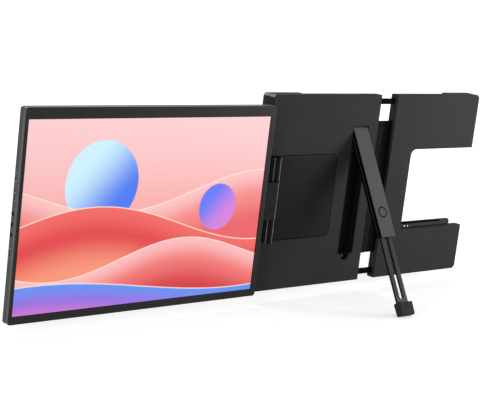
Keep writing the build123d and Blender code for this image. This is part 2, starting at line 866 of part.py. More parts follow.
# Clamp panel: base plate with its slotted ledge in the cut-out
with BuildPart() as clamp_base_plate:
    extrude(clamp_outline(y_base, seam_inset), amount=base_thick)
    with BuildSketch(lid_layer(y_base)) as ledge:
        with Locations((cut_left - cut_lower_r + ledge_length / 2, ledge_z)):
            Rectangle(ledge_length, ledge_rise + ledge_hold)
        fillet(ledge.vertices().group_by(Axis.X)[-1].sort_by(Axis.Y)[-1], ledge_corner_r)
    extrude(amount=base_thick)
    with BuildSketch(lid_layer(y_seam)) as ledge_slot:
        with Locations((cut_left + ledge_slot_start + ledge_slot_length / 2, ledge_slot_z)):
            SlotOverall(ledge_slot_length, ledge_slot_height)
    extrude(amount=-ledge_slot_depth, mode=Mode.SUBTRACT)
    countersinks(clamp_bosses + rail_screw_places, y_base, screw_r, screw_head_r)
    blind_holes(right_upper_places + right_lower_places, y_seam - overrun, base_thick + 2 * overrun, True)

with BuildPart() as clamp_base_screws:
    flat_screws(clamp_bosses, y_base, screw_length)

with BuildPart() as clamp_lid_pads:
    for z in (upper_middle, lower_middle):
        block(
            cut_left, cut_left + arm_length * clamp_pad_share, y_base, 0,
            z + pad_offset - pad_height / 2, z + pad_offset + pad_height / 2,
        )


def rail(side):
    """A rail with its foot in the clamp panel, and a spring tab at its free end."""
    low, high = sorted((side * rail_top, side * rail_bottom))
    tab_low, tab_high = sorted((side * rail_bottom, side * (spring_z - spring_r)))
    block(rail_left, rail_right, y_rail_rear, y_rail_front, low, high)
    block(clamp_left + cover_wall, rail_right, y_rail_front, y_seam, low, high)
    block(rail_left, rail_left + rail_tab_width, y_tab, y_rail_front, tab_low, tab_high)
    rod(lid_layer(y_tab), spring_post_r, y_tab - y_rail_rear, ((rail_hook_x, side * spring_z),))
    places = [place for place in rail_screw_places if place[1] * side > 0]
    rod(lid_layer(y_seam), screw_r + screw_play, screw_length - base_thick, places, Mode.SUBTRACT)


with BuildPart() as upper_rail:
    rail(1)

with BuildPart() as lower_rail:
    rail(-1)

with BuildPart() as rail_screws:
    flat_screws(rail_screw_places, y_base, screw_length - screw_edge)

with BuildPart() as upper_right_hook:
    corner_hook(clamp_right, -1)
    soften_lip(upper_right_hook)
    blind_holes(right_upper_places, y_base, blind_depth, True)

with BuildPart() as lower_right_hook:
    side_hook(clamp_right, -1)
    soften_lip(lower_right_hook)
    blind_holes(right_lower_places, y_base, blind_depth, True)

with BuildPart() as right_hook_screws:
    pan_screws(right_upper_places + right_lower_places, y_seam, hook_screw_length, True)

with BuildPart() as right_jaw_pads:
    jaw_pads(clamp_right, -1)

# Kickstand arm: a channel with a round top end, open at its back and lower end
with BuildPart() as kickstand_arm:
    rod(Plane.YZ.offset(pocket_x - arm_half), arm_end_r, arm_width, ((pivot_y, pivot_z),))
    bar(arm_layer(0), -arm_half, arm_half, -arm_reach, 0, -arm_thick)
    fillet(kickstand_arm.faces().filter_by(Axis.X).edges(), arm_edge_round)
    bar(
        arm_layer(arm_cover_depth), -arm_half - overrun, arm_half + overrun, -arm_reach - overrun,
        -arm_solid_end, -arm_back_thick - overrun, Mode.SUBTRACT,
    )
    bar(
        arm_layer(arm_front_wall), -cavity_half, cavity_half, -arm_reach - overrun,
        -arm_solid_end - arm_ledge, -arm_thick, Mode.SUBTRACT,
    )
    rod(
        Plane.YZ.offset(pocket_x - arm_half - overrun), kick_pin_r + run_fit, arm_width + 2 * overrun,
        ((pivot_y, pivot_z),), Mode.SUBTRACT,
    )
    rod(
        arm_layer(arm_front_wall + overrun), release_r + release_play, arm_front_wall + 2 * overrun,
        ((0, -release_s),), Mode.SUBTRACT,
    )
    rod(arm_layer(0), release_r + release_ring, -release_ring_depth, ((0, -release_s),), Mode.SUBTRACT)
    # Ears that carry the latch pin
    for side in (1, -1):
        near, far = sorted((side * latch_ear_in, side * (latch_ear_in + latch_ear)))
        bar(
            arm_layer(arm_front_wall), near, far, -latch_s - latch_ear, -latch_s + latch_ear,
            -(latch_v + latch_eye_r - arm_front_wall),
        )
    rod(latch_axis, latch_pin_r + fixed_fit, latch_pin_length + overrun, mode=Mode.SUBTRACT)
    # Blind holes of the back cover's screws in the side walls
    rod(
        arm_layer(arm_cover_depth), arm_screw_r + screw_play, arm_screw_length, arm_screw_places,
        Mode.SUBTRACT,
    )

with BuildPart() as arm_back_cover:
    bar(arm_layer(arm_cover_depth), -arm_half, arm_half, -arm_reach, -arm_solid_end, -arm_back_thick)
    fillet(
        arm_back_cover.faces().sort_by(arm_out)[0].edges().filter_by(arm_down), arm_edge_round,
    )
    rod(
        arm_layer(arm_thick + overrun), arm_screw_r + screw_play, arm_back_thick + 2 * overrun,
        arm_screw_places, Mode.SUBTRACT,
    )
    rod(arm_layer(arm_thick), arm_head_r + screw_play, arm_head_thick, arm_screw_places, Mode.SUBTRACT)

with BuildPart() as arm_screws:
    rod(arm_layer(arm_thick), arm_head_r, arm_head_thick, arm_screw_places)
    rod(arm_layer(arm_thick), arm_screw_r, arm_back_thick + arm_screw_hold, arm_screw_places)

with BuildPart() as leg_guide_pin:
    rod(
        arm_layer(arm_front_wall), guide_pin_r, -(arm_cover_depth - arm_front_wall),
        ((0, -guide_pin_s),),
    )

with BuildPart() as release_button:
    rod(arm_layer(0), release_r, -release_flange_depth, ((0, -release_s),))
    fillet(release_button.faces().sort_by(arm_out)[-1].edges(), arm_edge_round / 2)
    rod(
        arm_layer(release_flange_depth), release_r + release_flange, -release_flange_thick,
        ((0, -release_s),),
    )
    bar(
        arm_layer(release_flange_depth), -latch_ear_in, latch_ear_in,
        -release_s - release_r - release_flange - overrun, -release_s - 2 * release_stem_r,
        -release_flange_thick, Mode.SUBTRACT,
    )
    rod(
        arm_layer(release_flange_depth), release_stem_r, -(latch_top - latch_contact - release_flange_depth),
        ((0, -release_s),),
    )

# Latch lever: the button presses its tail, the tooth bar at its other end lifts off the leg
with BuildPart() as latch_lever:
    bar(
        arm_layer(latch_top), -latch_width / 2, latch_width / 2, -latch_s - latch_tooth_arm,
        -release_s + latch_tail, -latch_thick,
    )
    bar(
        arm_layer(latch_top), -latch_tooth_width / 2, latch_tooth_width / 2,
        -latch_s - latch_tooth_arm, -latch_s - latch_tooth_arm + latch_bar,
        -(latch_thick + latch_tooth_height),
    )
    rod(latch_axis.offset(latch_pin_length / 2 - latch_width / 2), latch_eye_r, latch_width)
    rod(latch_axis, latch_pin_r + run_fit, latch_pin_length, mode=Mode.SUBTRACT)

with BuildPart() as latch_pin:
    rod(latch_axis, latch_pin_r, latch_pin_length)

# Two small torsion springs on the latch pin, their legs on the arm's front wall
with BuildPart() as latch_spring:
    for side in (1, -1):
        middle = side * (latch_width / 2 + latch_ear_gap / 2)
        near = middle - latch_spring_wide / 2
        tube(
            latch_axis.offset(latch_pin_length / 2 + near), latch_spring_r, latch_pin_r + fixed_fit,
            latch_spring_wide,
        )
        bar(
            arm_layer(arm_front_wall), near, near + latch_spring_wide, -latch_s - latch_spring_leg,
            -latch_s, -latch_spring_wire,
        )

# Telescopic leg: a fork with ridges across its prongs
with BuildPart() as telescopic_leg:
    with BuildSketch(arm_layer(leg_depth)) as fork:
        with Locations((0, -(leg_top_s + leg_low_s) / 2)):
            Rectangle(leg_width, leg_low_s - leg_top_s)
        fillet(fork.vertices().group_by(Axis.Y)[-1], leg_corner_r)
        with Locations((0, -(slot_top_s + slot_low_s) / 2)):
            SlotOverall(slot_low_s - slot_top_s, leg_slot_width, rotation=90, mode=Mode.SUBTRACT)
    extrude(amount=-leg_thick)
    bar(
        arm_layer(leg_depth), -leg_slot_width / 2, leg_slot_width / 2, -slot_top_s - leg_slot_width,
        -leg_top_s + overrun, -leg_groove_depth, Mode.SUBTRACT,
    )
    for step in range(ridge_count):
        ridge_s = foot_top_s - ridge_from_foot - step * ridge_pitch
        bar(
            arm_layer(leg_depth), -leg_width / 2 - overrun, leg_width / 2 + overrun,
            -ridge_s - ridge_width / 2, -ridge_s + ridge_width / 2, -ridge_depth, Mode.SUBTRACT,
        )

with BuildPart() as rubber_foot:
    bar(
        arm_layer(-foot_proud), -foot_width / 2, foot_width / 2, -foot_top_s - foot_height, -foot_top_s,
        -foot_depth,
    )
    fillet(rubber_foot.faces().sort_by(arm_down)[-1].edges().filter_by(arm_out), foot_round)
    bar(
        arm_layer(leg_depth - foot_play), -leg_width / 2 - foot_play, leg_width / 2 + foot_play,
        -leg_low_s, -foot_top_s + overrun, -leg_thick - 2 * foot_play, Mode.SUBTRACT,
    )

# Hinge knuckle between the barrels, bored across for the swivel
with BuildPart() as hinge_knuckle:
    with BuildSketch(Plane.XY.offset(hinge_z - knuckle_height / 2)) as section:
        with Locations(((knuckle_left + hinge_x) / 2, y_hinge)):
            Rectangle(hinge_x - knuckle_left, monitor_depth)
        fillet(section.vertices().group_by(Axis.X)[0], knuckle_round)
        with Locations((hinge_x, y_hinge)):
            Circle(monitor_depth / 2)
    extrude(amount=knuckle_height)
    for start in pin_bore_starts:
        rod(
            Plane.XY.offset(start), hinge_pin_r + run_fit, hinge_pin_hold + slide_gap + overrun,
            ((hinge_x, y_hinge),), Mode.SUBTRACT,
        )
    rod(
        Plane.YZ.offset(knuckle_left - overrun), bush_r + fixed_fit, swivel_seat - knuckle_left + 2 * overrun,
        swivel_place, Mode.SUBTRACT,
    )
    rod(
        Plane.YZ.offset(swivel_seat), swivel_head_r + swivel_head_gap, monitor_depth, swivel_place,
        Mode.SUBTRACT,
    )

with BuildPart() as swivel_bush:
    tube(
        Plane.YZ.offset(knuckle_left), bush_r, swivel_r + run_fit, swivel_seat - knuckle_left, swivel_place
    )

with BuildPart() as swivel_bolt:
    rod(Plane.YZ.offset(swivel_seat + run_fit), swivel_head_r, swivel_head_thick, swivel_place)
    rod(
        Plane.YZ.offset(bracket_x - bracket_thick - swivel_tail), swivel_r,
        swivel_seat + run_fit - bracket_x + bracket_thick + swivel_tail, swivel_place,
    )


def monitor_frame(y, inset, radius):
    """The monitor's outline at depth y, drawn in from its edges by an inset."""
    with BuildSketch(lid_layer(y)) as outline:
        with Locations((monitor_x, hinge_z)):
            RectangleRounded(monitor_width - 2 * inset, monitor_height - 2 * inset, radius)
    return outline.sketch


# Monitor: front bezel
with BuildPart() as screen_bezel:
    extrude(monitor_frame(y_bezel, 0, monitor_corner_r), amount=bezel_depth)
    fillet(screen_bezel.faces().sort_by(Axis.Y)[0].outer_wire().edges(), bezel_edge_round)
    extrude(
        monitor_frame(y_bezel, monitor_wall, monitor_corner_r - monitor_wall), amount=y_bezel - y_display,
        mode=Mode.SUBTRACT,
    )
    bar(
        lid_layer(y_display + overrun), active_x - active_width / 2 - window_margin,
        active_x + active_width / 2 + window_margin, active_z - active_height / 2 - window_margin,
        active_z + active_height / 2 + window_margin, bezel_lip + 2 * overrun, Mode.SUBTRACT,
    )
    rod(lid_layer(y_bezel), post_r, y_bezel - y_display, cover_screw_places)
    rod(lid_layer(y_bezel), screw_r + screw_play, cover_screw_hold + screw_edge, cover_screw_places,
        Mode.SUBTRACT)
    rod(swivel_wall_hole, swivel_r + slide_gap, monitor_wall + 2 * overrun, swivel_place, Mode.SUBTRACT)

# Monitor: rear cover with its posts, socket openings and button holes
with BuildPart() as screen_rear_cover:
    extrude(monitor_frame(y_back, 0, monitor_corner_r), amount=y_back - y_bezel)
    fillet(screen_rear_cover.faces().sort_by(Axis.Y)[-1].outer_wire().edges(), monitor_back_round)
    extrude(
        monitor_frame(y_cavity, monitor_wall, monitor_corner_r - monitor_wall), amount=y_cavity - y_bezel,
        mode=Mode.SUBTRACT,
    )
    rod(lid_layer(y_cavity), post_r, y_cavity - y_bezel, cover_screw_places)
    countersinks(cover_screw_places + bracket_screw_places, y_back, screw_r, screw_head_r)
    rod(lid_layer(y_cavity), boss_r, y_cavity - y_backlight_back, support_places)
    rod(lid_layer(y_cavity), board_post_r, y_cavity - y_board_back, stake_places)
    rod(lid_layer(y_cavity), screw_r, y_cavity - y_board_front + stake_rise, stake_places)
    rod(swivel_wall_hole, swivel_r + slide_gap, monitor_wall + 2 * overrun, swivel_place, Mode.SUBTRACT)
    for z in usb_places:
        with BuildSketch(port_wall) as opening:
            with Locations((y_port, z)):
                SlotOverall(usb_length + 2 * socket_play, usb_height + 2 * socket_play, rotation=90)
        extrude(amount=monitor_wall + overrun, mode=Mode.SUBTRACT)
    bar(
        port_wall, y_board_back - socket_play, y_board_back + hdmi_height + socket_play,
        hdmi_z - hdmi_length / 2 - socket_play, hdmi_z + hdmi_length / 2 + socket_play,
        monitor_wall + overrun, Mode.SUBTRACT,
    )
    # The button holes run on into the back wall as far as the caps are pressed
    rod(
        port_wall, button_r + button_play, overrun + monitor_wall + button_seat + button_travel + button_play,
        [(y_port, z) for z in button_places], Mode.SUBTRACT,
    )

with BuildPart() as cover_screws:
    flat_screws(cover_screw_places, y_back, y_back - y_bezel + cover_screw_hold)

# Display stack behind the bezel's window
display_half_x = active_width / 2 + display_border
display_half_z = active_height / 2 + display_border
display_limits = (
    active_x - display_half_x, active_x + display_half_x, active_z - display_half_z, active_z + display_half_z
)
with BuildPart() as display_panel:
    bar(lid_layer(y_backlight), *display_limits, display_thick)

with BuildPart() as backlight_plate:
    bar(lid_layer(y_backlight_back), *display_limits, backlight_thick)

# Driver board on the rear cover's posts, with its chips
with BuildPart() as driver_board:
    bar(
        lid_layer(y_board_back), board_x, board_x + board_width, hinge_z - board_height / 2,
        hinge_z + board_height / 2, board_thick,
    )
    rod(lid_layer(y_board_back + overrun), screw_r + screw_play, board_thick + 2 * overrun, stake_places,
        Mode.SUBTRACT)
    for share in chip_shares:
        x = board_x + board_width * chip_row_share
        z = hinge_z + board_height * share
        bar(
            lid_layer(y_board_back + chip_thick), x - chip_size / 2, x + chip_size / 2, z - chip_size / 2,
            z + chip_size / 2, chip_thick,
        )


def usb_socket(z):
    """A flat-oval metal shell, closed at its back, with a tongue inside."""
    front = Plane.YZ.offset(monitor_left + socket_setback)
    with BuildSketch(front) as shell_outline:
        with Locations((y_port, z)):
            SlotOverall(usb_length, usb_height, rotation=90)
    extrude(shell_outline.sketch, amount=socket_depth)
    with BuildSketch(front) as mouth:
        with Locations((y_port, z)):
            SlotOverall(usb_length - 2 * socket_shell, usb_height - 2 * socket_shell, rotation=90)
    extrude(mouth.sketch, amount=socket_depth - socket_shell, mode=Mode.SUBTRACT)
    bar(
        front.offset(socket_depth - socket_shell - socket_tongue_depth), y_port - socket_tongue_thick / 2,
        y_port + socket_tongue_thick / 2, z - usb_tongue_width / 2, z + usb_tongue_width / 2,
        socket_tongue_depth,
    )


with BuildPart() as usb_c_socket_upper:
    usb_socket(usb_places[0])

with BuildPart() as usb_c_socket_lower:
    usb_socket(usb_places[1])

with BuildPart() as mini_hdmi_socket:
    hdmi_y = y_board_back + hdmi_height / 2
    with BuildSketch(hdmi_front) as shell_outline:
        with Locations((hdmi_y, hdmi_z)):
            Rectangle(hdmi_height, hdmi_length)
        chamfer(shell_outline.vertices().group_by(Axis.X)[-1], hdmi_height / 3)
    extrude(amount=socket_depth)
    with BuildSketch(hdmi_front) as mouth:
        with Locations((hdmi_y, hdmi_z)):
            Rectangle(hdmi_height - 2 * socket_shell, hdmi_length - 2 * socket_shell)
        chamfer(mouth.vertices().group_by(Axis.X)[-1], hdmi_height / 3)
    extrude(amount=socket_depth - socket_shell, mode=Mode.SUBTRACT)
    bar(
        hdmi_front.offset(socket_depth - socket_shell - socket_tongue_depth),
        hdmi_y - socket_tongue_thick / 2, hdmi_y + socket_tongue_thick / 2,
        hdmi_z - hdmi_tongue_width / 2, hdmi_z + hdmi_tongue_width / 2, socket_tongue_depth,
    )


def side_button(z):
    """A round cap in the side wall, with a flange behind the wall and a plunger."""
    rod(port_wall.offset(overrun + button_recess), button_r, flange_x - monitor_left - button_recess,
        ((y_port, z),))
    block(
        flange_x, flange_x + button_flange_thick, y_port - button_flange_half, y_port + button_flange_half,
        z - button_r - button_flange, z + button_r + button_flange,
    )
    block(
        flange_x, plunger_x, y_port - plunger_half, y_port + plunger_half, z - plunger_half,
        z + plunger_half,
    )


with BuildPart() as power_button:
    side_button(button_places[0])

with BuildPart() as up_button:
    side_button(button_places[1])

with BuildPart() as down_button:
    side_button(button_places[2])

with BuildPart() as button_switches:
    switch_x = plunger_x + button_travel + switch_gap
    for z in button_places:
        block(
            switch_x, switch_x + switch_size, y_board_back, y_board_back + switch_size,
            z - switch_size / 2, z + switch_size / 2,
        )

# Swivel bracket: one leg takes the bolt, the flange is screwed to the rear cover
with BuildPart() as swivel_bracket:
    block(
        bracket_x - bracket_thick, bracket_x, y_display + display_play, y_cavity,
        hinge_z - bracket_height / 2, hinge_z + bracket_height / 2,
    )
    block(
        bracket_x - bracket_length, bracket_x, y_cavity - bracket_flange, y_cavity,
        hinge_z - bracket_height / 2, hinge_z + bracket_height / 2,
    )
    rod(
        Plane.YZ.offset(bracket_x - bracket_thick - overrun), swivel_r + fixed_fit,
        bracket_thick + 2 * overrun, swivel_place, Mode.SUBTRACT,
    )
    rod(lid_layer(y_cavity + overrun), screw_r + screw_play, bracket_flange + 2 * overrun,
        bracket_screw_places, Mode.SUBTRACT)

with BuildPart() as bracket_screws:
    flat_screws(bracket_screw_places, y_back, monitor_wall + bracket_flange)

pieces = {
    "main_rear_cover": main_rear_cover,
    "main_base_plate": main_base_plate,
    "main_base_screws": main_base_screws,
    "main_lid_pads": main_lid_pads,
    "upper_left_hook": upper_left_hook,
    "lower_left_hook": lower_left_hook,
    "left_hook_screws": left_hook_screws,
    "left_jaw_pads": left_jaw_pads,
    "hinge_leaf": hinge_leaf,
    "hinge_leaf_screws": hinge_leaf_screws,
    "hinge_pins": hinge_pins,
    "hinge_washers": hinge_washers,
    "kickstand_pin": kickstand_pin,
    "kickstand_washers": kickstand_washers,
    "stow_magnet": stow_magnet,
    "slide_plate": slide_plate,
    "slide_plate_screws": slide_plate_screws,
    "rail_guides": rail_guides,
    "clamp_springs": clamp_springs,
    "spring_posts": spring_posts,
    "clamp_rear_cover": clamp_rear_cover,
    "clamp_base_plate": clamp_base_plate,
    "clamp_base_screws": clamp_base_screws,
    "clamp_lid_pads": clamp_lid_pads,
    "upper_rail": upper_rail,
    "lower_rail": lower_rail,
    "rail_screws": rail_screws,
    "upper_right_hook": upper_right_hook,
    "lower_right_hook": lower_right_hook,
    "right_hook_screws": right_hook_screws,
    "right_jaw_pads": right_jaw_pads,
    "kickstand_arm": kickstand_arm,
    "arm_back_cover": arm_back_cover,
    "arm_screws": arm_screws,
    "leg_guide_pin": leg_guide_pin,
    "release_button": release_button,
    "latch_lever": latch_lever,
    "latch_pin": latch_pin,
    "latch_spring": latch_spring,
    "telescopic_leg": telescopic_leg,
    "rubber_foot": rubber_foot,
    "hinge_knuckle": hinge_knuckle,
    "swivel_bush": swivel_bush,
    "screen_bezel": screen_bezel,
    "screen_rear_cover": screen_rear_cover,
    "cover_screws": cover_screws,
    "display_panel": display_panel,
    "backlight_plate": backlight_plate,
    "driver_board": driver_board,
    "usb_c_socket_upper": usb_c_socket_upper,
    "usb_c_socket_lower": usb_c_socket_lower,
    "mini_hdmi_socket": mini_hdmi_socket,
    "power_button": power_button,
    "up_button": up_button,
    "down_button": down_button,
    "button_switches": button_switches,
    "swivel_bracket": swivel_bracket,
    "bracket_screws": bracket_screws,
    "swivel_bolt": swivel_bolt,
}
os.makedirs("parts", exist_ok=True)
for name, piece in pieces.items():
    piece.part.label = name
    export_step(piece.part, f"parts/{name}.step")
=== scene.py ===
# %% [markdown]
# # A screen extender, finished for the camera
# The solid model arrives as a frame: every piece is in place and knows the body it
# moves with. This notebook keeps those pieces and adds the shapes that a solid model
# leaves plain: cross-slotted screws, wound springs, a moulded foot, ribbed pads and the
# trim of a ledge. It gives every piece a finish made of shader nodes, and sets up a soft
# white studio.
# %% Load the frame
import json

import bmesh
import bpy
import numpy as np
from mathutils import Matrix, Vector


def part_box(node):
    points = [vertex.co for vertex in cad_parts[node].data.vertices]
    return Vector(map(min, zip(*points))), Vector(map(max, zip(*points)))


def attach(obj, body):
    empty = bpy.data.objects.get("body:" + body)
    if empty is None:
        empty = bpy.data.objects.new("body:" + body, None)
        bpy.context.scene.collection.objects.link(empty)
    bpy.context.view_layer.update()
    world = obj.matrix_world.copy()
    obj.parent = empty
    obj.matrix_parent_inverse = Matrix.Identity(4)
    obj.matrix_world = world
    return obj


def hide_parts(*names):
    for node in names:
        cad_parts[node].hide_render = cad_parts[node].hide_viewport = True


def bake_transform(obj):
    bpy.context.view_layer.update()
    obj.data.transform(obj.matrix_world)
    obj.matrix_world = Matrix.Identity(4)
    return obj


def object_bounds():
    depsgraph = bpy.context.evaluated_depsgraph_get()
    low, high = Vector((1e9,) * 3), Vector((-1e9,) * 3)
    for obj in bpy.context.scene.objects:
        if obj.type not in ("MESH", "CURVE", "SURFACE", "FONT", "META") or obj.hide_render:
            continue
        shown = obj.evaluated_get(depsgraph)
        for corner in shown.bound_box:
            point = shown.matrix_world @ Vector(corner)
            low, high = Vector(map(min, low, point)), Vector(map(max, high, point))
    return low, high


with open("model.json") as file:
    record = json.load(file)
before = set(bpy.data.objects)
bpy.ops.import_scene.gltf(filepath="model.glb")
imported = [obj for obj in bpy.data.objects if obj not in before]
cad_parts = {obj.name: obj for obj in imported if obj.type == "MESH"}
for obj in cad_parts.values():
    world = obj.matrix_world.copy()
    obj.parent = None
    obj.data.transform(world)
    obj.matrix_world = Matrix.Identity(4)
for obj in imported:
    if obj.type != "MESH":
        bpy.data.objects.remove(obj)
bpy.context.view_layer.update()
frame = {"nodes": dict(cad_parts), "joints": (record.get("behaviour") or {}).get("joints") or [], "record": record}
nodes = frame["nodes"]
joints = {joint["name"]: joint for joint in frame["joints"]}
slot_of_node = {part["node"]: part["material_slot"] for part in frame["record"]["subparts"]}

# %% [markdown]
# ## Surfaces from arrays
# The real object has small turned, wound and moulded pieces. They could be put together
# from Blender's ready shapes, but a formula gives every point its exact place. So each
# surface is a grid of points, rows by columns, and its faces join each point to its
# neighbours. One function makes the faces of any grid whose rows close on themselves.
# %% Grid helpers
MM = 0.001
WELD = 0.0001 * MM
X, Y, Z = np.eye(3)


def points_of(name):
    """The points of a frame piece as an array (n, 3), in metres."""
    flat = np.empty(len(nodes[name].data.vertices) * 3)
    nodes[name].data.vertices.foreach_get("co", flat)
    return flat.reshape(-1, 3)


def grid_faces(rows, cols):
    """Quads (i,j) (i,j+1) (i+1,j+1) (i+1,j) of a grid; its last column joins the first."""
    i = np.arange(rows - 1)[:, None]
    j = np.arange(cols)[None, :]
    k = (j + 1) % cols
    quads = np.stack([i * cols + j, i * cols + k, (i + 1) * cols + k, (i + 1) * cols + j], -1)
    return quads.reshape(-1, 4)


def make_piece(name, grids, body, material):
    """A mesh from closed grids of points (rows, cols, 3), riding on one body of the frame.

    Points that coincide, at poles and seams, become one, and the faces look outward.
    """
    starts = np.cumsum([0] + [grid.shape[0] * grid.shape[1] for grid in grids])
    points = np.concatenate([grid.reshape(-1, 3) for grid in grids])
    quads = np.concatenate([grid_faces(*grid.shape[:2]) + start
                            for grid, start in zip(grids, starts)])
    mesh = bpy.data.meshes.new(name)
    mesh.from_pydata(points.tolist(), [], quads.tolist())
    mesh.polygons.foreach_set("use_smooth", np.ones(len(quads), bool))
    shell = bmesh.new()
    shell.from_mesh(mesh)
    bmesh.ops.remove_doubles(shell, verts=shell.verts, dist=WELD)
    bmesh.ops.recalc_face_normals(shell, faces=shell.faces)
    shell.to_mesh(mesh)
    shell.free()
    piece = bpy.data.objects.new(name, mesh)
    bpy.context.scene.collection.objects.link(piece)
    mesh.materials.append(material)
    if body:
        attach(piece, body)
    print(name, len(mesh.polygons), "faces")
    return piece


# %% [markdown]
# ## Shader nodes by formula
# Finishes could be wired by hand in the node editor, but a script has to repeat them
# exactly. The small builder below writes shader nodes the way one writes a formula: each
# call adds one node and returns its output, so outputs can be fed into further calls.
# %% Colours
def linear(red, green, blue):
    """Display colour 0..255 to the linear colour a shader works with."""
    c = np.array([red, green, blue]) / 255
    c = np.where(c <= 0.04045, c / 12.92, ((c + 0.055) / 1.055) ** 2.4)
    return (*c.tolist(), 1.0)


def grey(level):
    """A neutral display colour 0..255 as a linear colour."""
    return linear(level, level, level)


def lighter(tone, factor):
    """A tone times a factor, as a colour with alpha 1."""
    return tuple(min(c * factor, 1.0) for c in tone[:3]) + (1.0,)


print("middle grey is", round(grey(128)[0], 3), "in linear light")


# %% Node builder
class Nodes:
    """Adds shader nodes to one material and wires them up."""

    def __init__(self, name):
        self.material = bpy.data.materials.new(name)
        self.material.use_nodes = True
        self.tree = self.material.node_tree
        self.shader = self.tree.nodes["Principled BSDF"]

    def put(self, socket, value):
        """A socket takes either the output of another node or a plain value."""
        if isinstance(value, bpy.types.NodeSocket):
            self.tree.links.new(value, socket)
        else:
            socket.default_value = value

    def set(self, **values):
        """Fills the shader's own sockets, whose names have _ for a space here."""
        for name, value in values.items():
            self.put(self.shader.inputs[name.replace("_", " ")], value)

    def math(self, operation, a, b=0.0):
        """An operation on one or two numbers."""
        node = self.tree.nodes.new("ShaderNodeMath")
        node.operation = operation
        self.put(node.inputs[0], a)
        self.put(node.inputs[1], b)
        return node.outputs[0]

    def vector(self, operation, a, b=None):
        """An operation on one or two vectors; a dot product or a length is a number."""
        node = self.tree.nodes.new("ShaderNodeVectorMath")
        node.operation = operation
        self.put(node.inputs[0], a)
        if b is not None:
            self.put(node.inputs[1], b)
        return node.outputs["Value" if operation in ("DOT_PRODUCT", "LENGTH") else "Vector"]

    def step(self, value, low, high, first=0.0, last=1.0, smooth=True):
        """Rise from first to last while value goes from low to high, smooth or straight."""
        node = self.tree.nodes.new("ShaderNodeMapRange")
        node.interpolation_type = "SMOOTHSTEP" if smooth else "LINEAR"
        for place, number in enumerate((value, low, high, first, last)):
            self.put(node.inputs[place], number)
        return node.outputs[0]

    def mix(self, share, a, b):
        """The colour (1 - share) a + share b."""
        node = self.tree.nodes.new("ShaderNodeMix")
        node.data_type = "RGBA"
        self.put(node.inputs["Factor"], share)
        self.put(node.inputs[6], a)
        self.put(node.inputs[7], b)
        return node.outputs[2]

    def blend(self, share, a, b):
        """The number (1 - share) a + share b."""
        node = self.tree.nodes.new("ShaderNodeMix")
        self.put(node.inputs["Factor"], share)
        self.put(node.inputs[2], a)
        self.put(node.inputs[3], b)
        return node.outputs[0]

    def place(self):
        """Object coordinates, in metres."""
        return self.tree.nodes.new("ShaderNodeTexCoord").outputs["Object"]

    def noise(self, scale, detail=3.0, stretch=None):
        """Noise from 0 to 1; stretch multiplies the coordinates along x, y and z."""
        where = self.vector("MULTIPLY", self.place(), stretch) if stretch else self.place()
        node = self.tree.nodes.new("ShaderNodeTexNoise")
        self.put(node.inputs["Vector"], where)
        node.inputs["Scale"].default_value = scale
        node.inputs["Detail"].default_value = detail
        return node.outputs["Fac"]

    def rounded(self, radius):
        """The surface's normal with its edges rounded over a small radius in metres."""
        node = self.tree.nodes.new("ShaderNodeBevel")
        node.samples = 6
        node.inputs["Radius"].default_value = radius
        return node.outputs[0]

    def relief(self, height, depth, base=None):
        """Normal of a height field, depth metres deep, on top of a base normal."""
        node = self.tree.nodes.new("ShaderNodeBump")
        node.inputs["Strength"].default_value = 1.0
        node.inputs["Distance"].default_value = depth
        self.put(node.inputs["Height"], height)
        if base is not None:
            self.put(node.inputs["Normal"], base)
        return node.outputs[0]


# %% [markdown]
# ## Finishes
# Nearly all of the object is black or dark grey: moulded shells with a fine matte grain,
# painted metal, rubber. Each could have a material of its own, but they differ only in a
# few numbers, so one recipe serves them all. A fine noise roughens the surface, a broad
# one shifts its tone a little, and a bevelled normal rounds the edges in the shading.
# Where that normal leans away from the flat one there is an edge, and edges are painted a
# little lighter, partly as wear and partly as a painted highlight. Metals brushed in one
# direction use noise stretched along it.
# %% Finish recipe
BROAD_GRAIN = 9.0
EDGE_STRENGTH = 0.6
SMOOTHEST, ROUGHEST = 0.85, 1.1


def edge_wear_highlight_share(n, bevel):
    """1 on edges, lightened as wear and as a painted highlight, 0 on flats: one minus the dot product of the two
    normals.
    """
    flat = n.tree.nodes.new("ShaderNodeNewGeometry").outputs["Normal"]
    return n.step(n.math("SUBTRACT", 1.0, n.vector("DOT_PRODUCT", flat, bevel)), 0.02, 0.25)


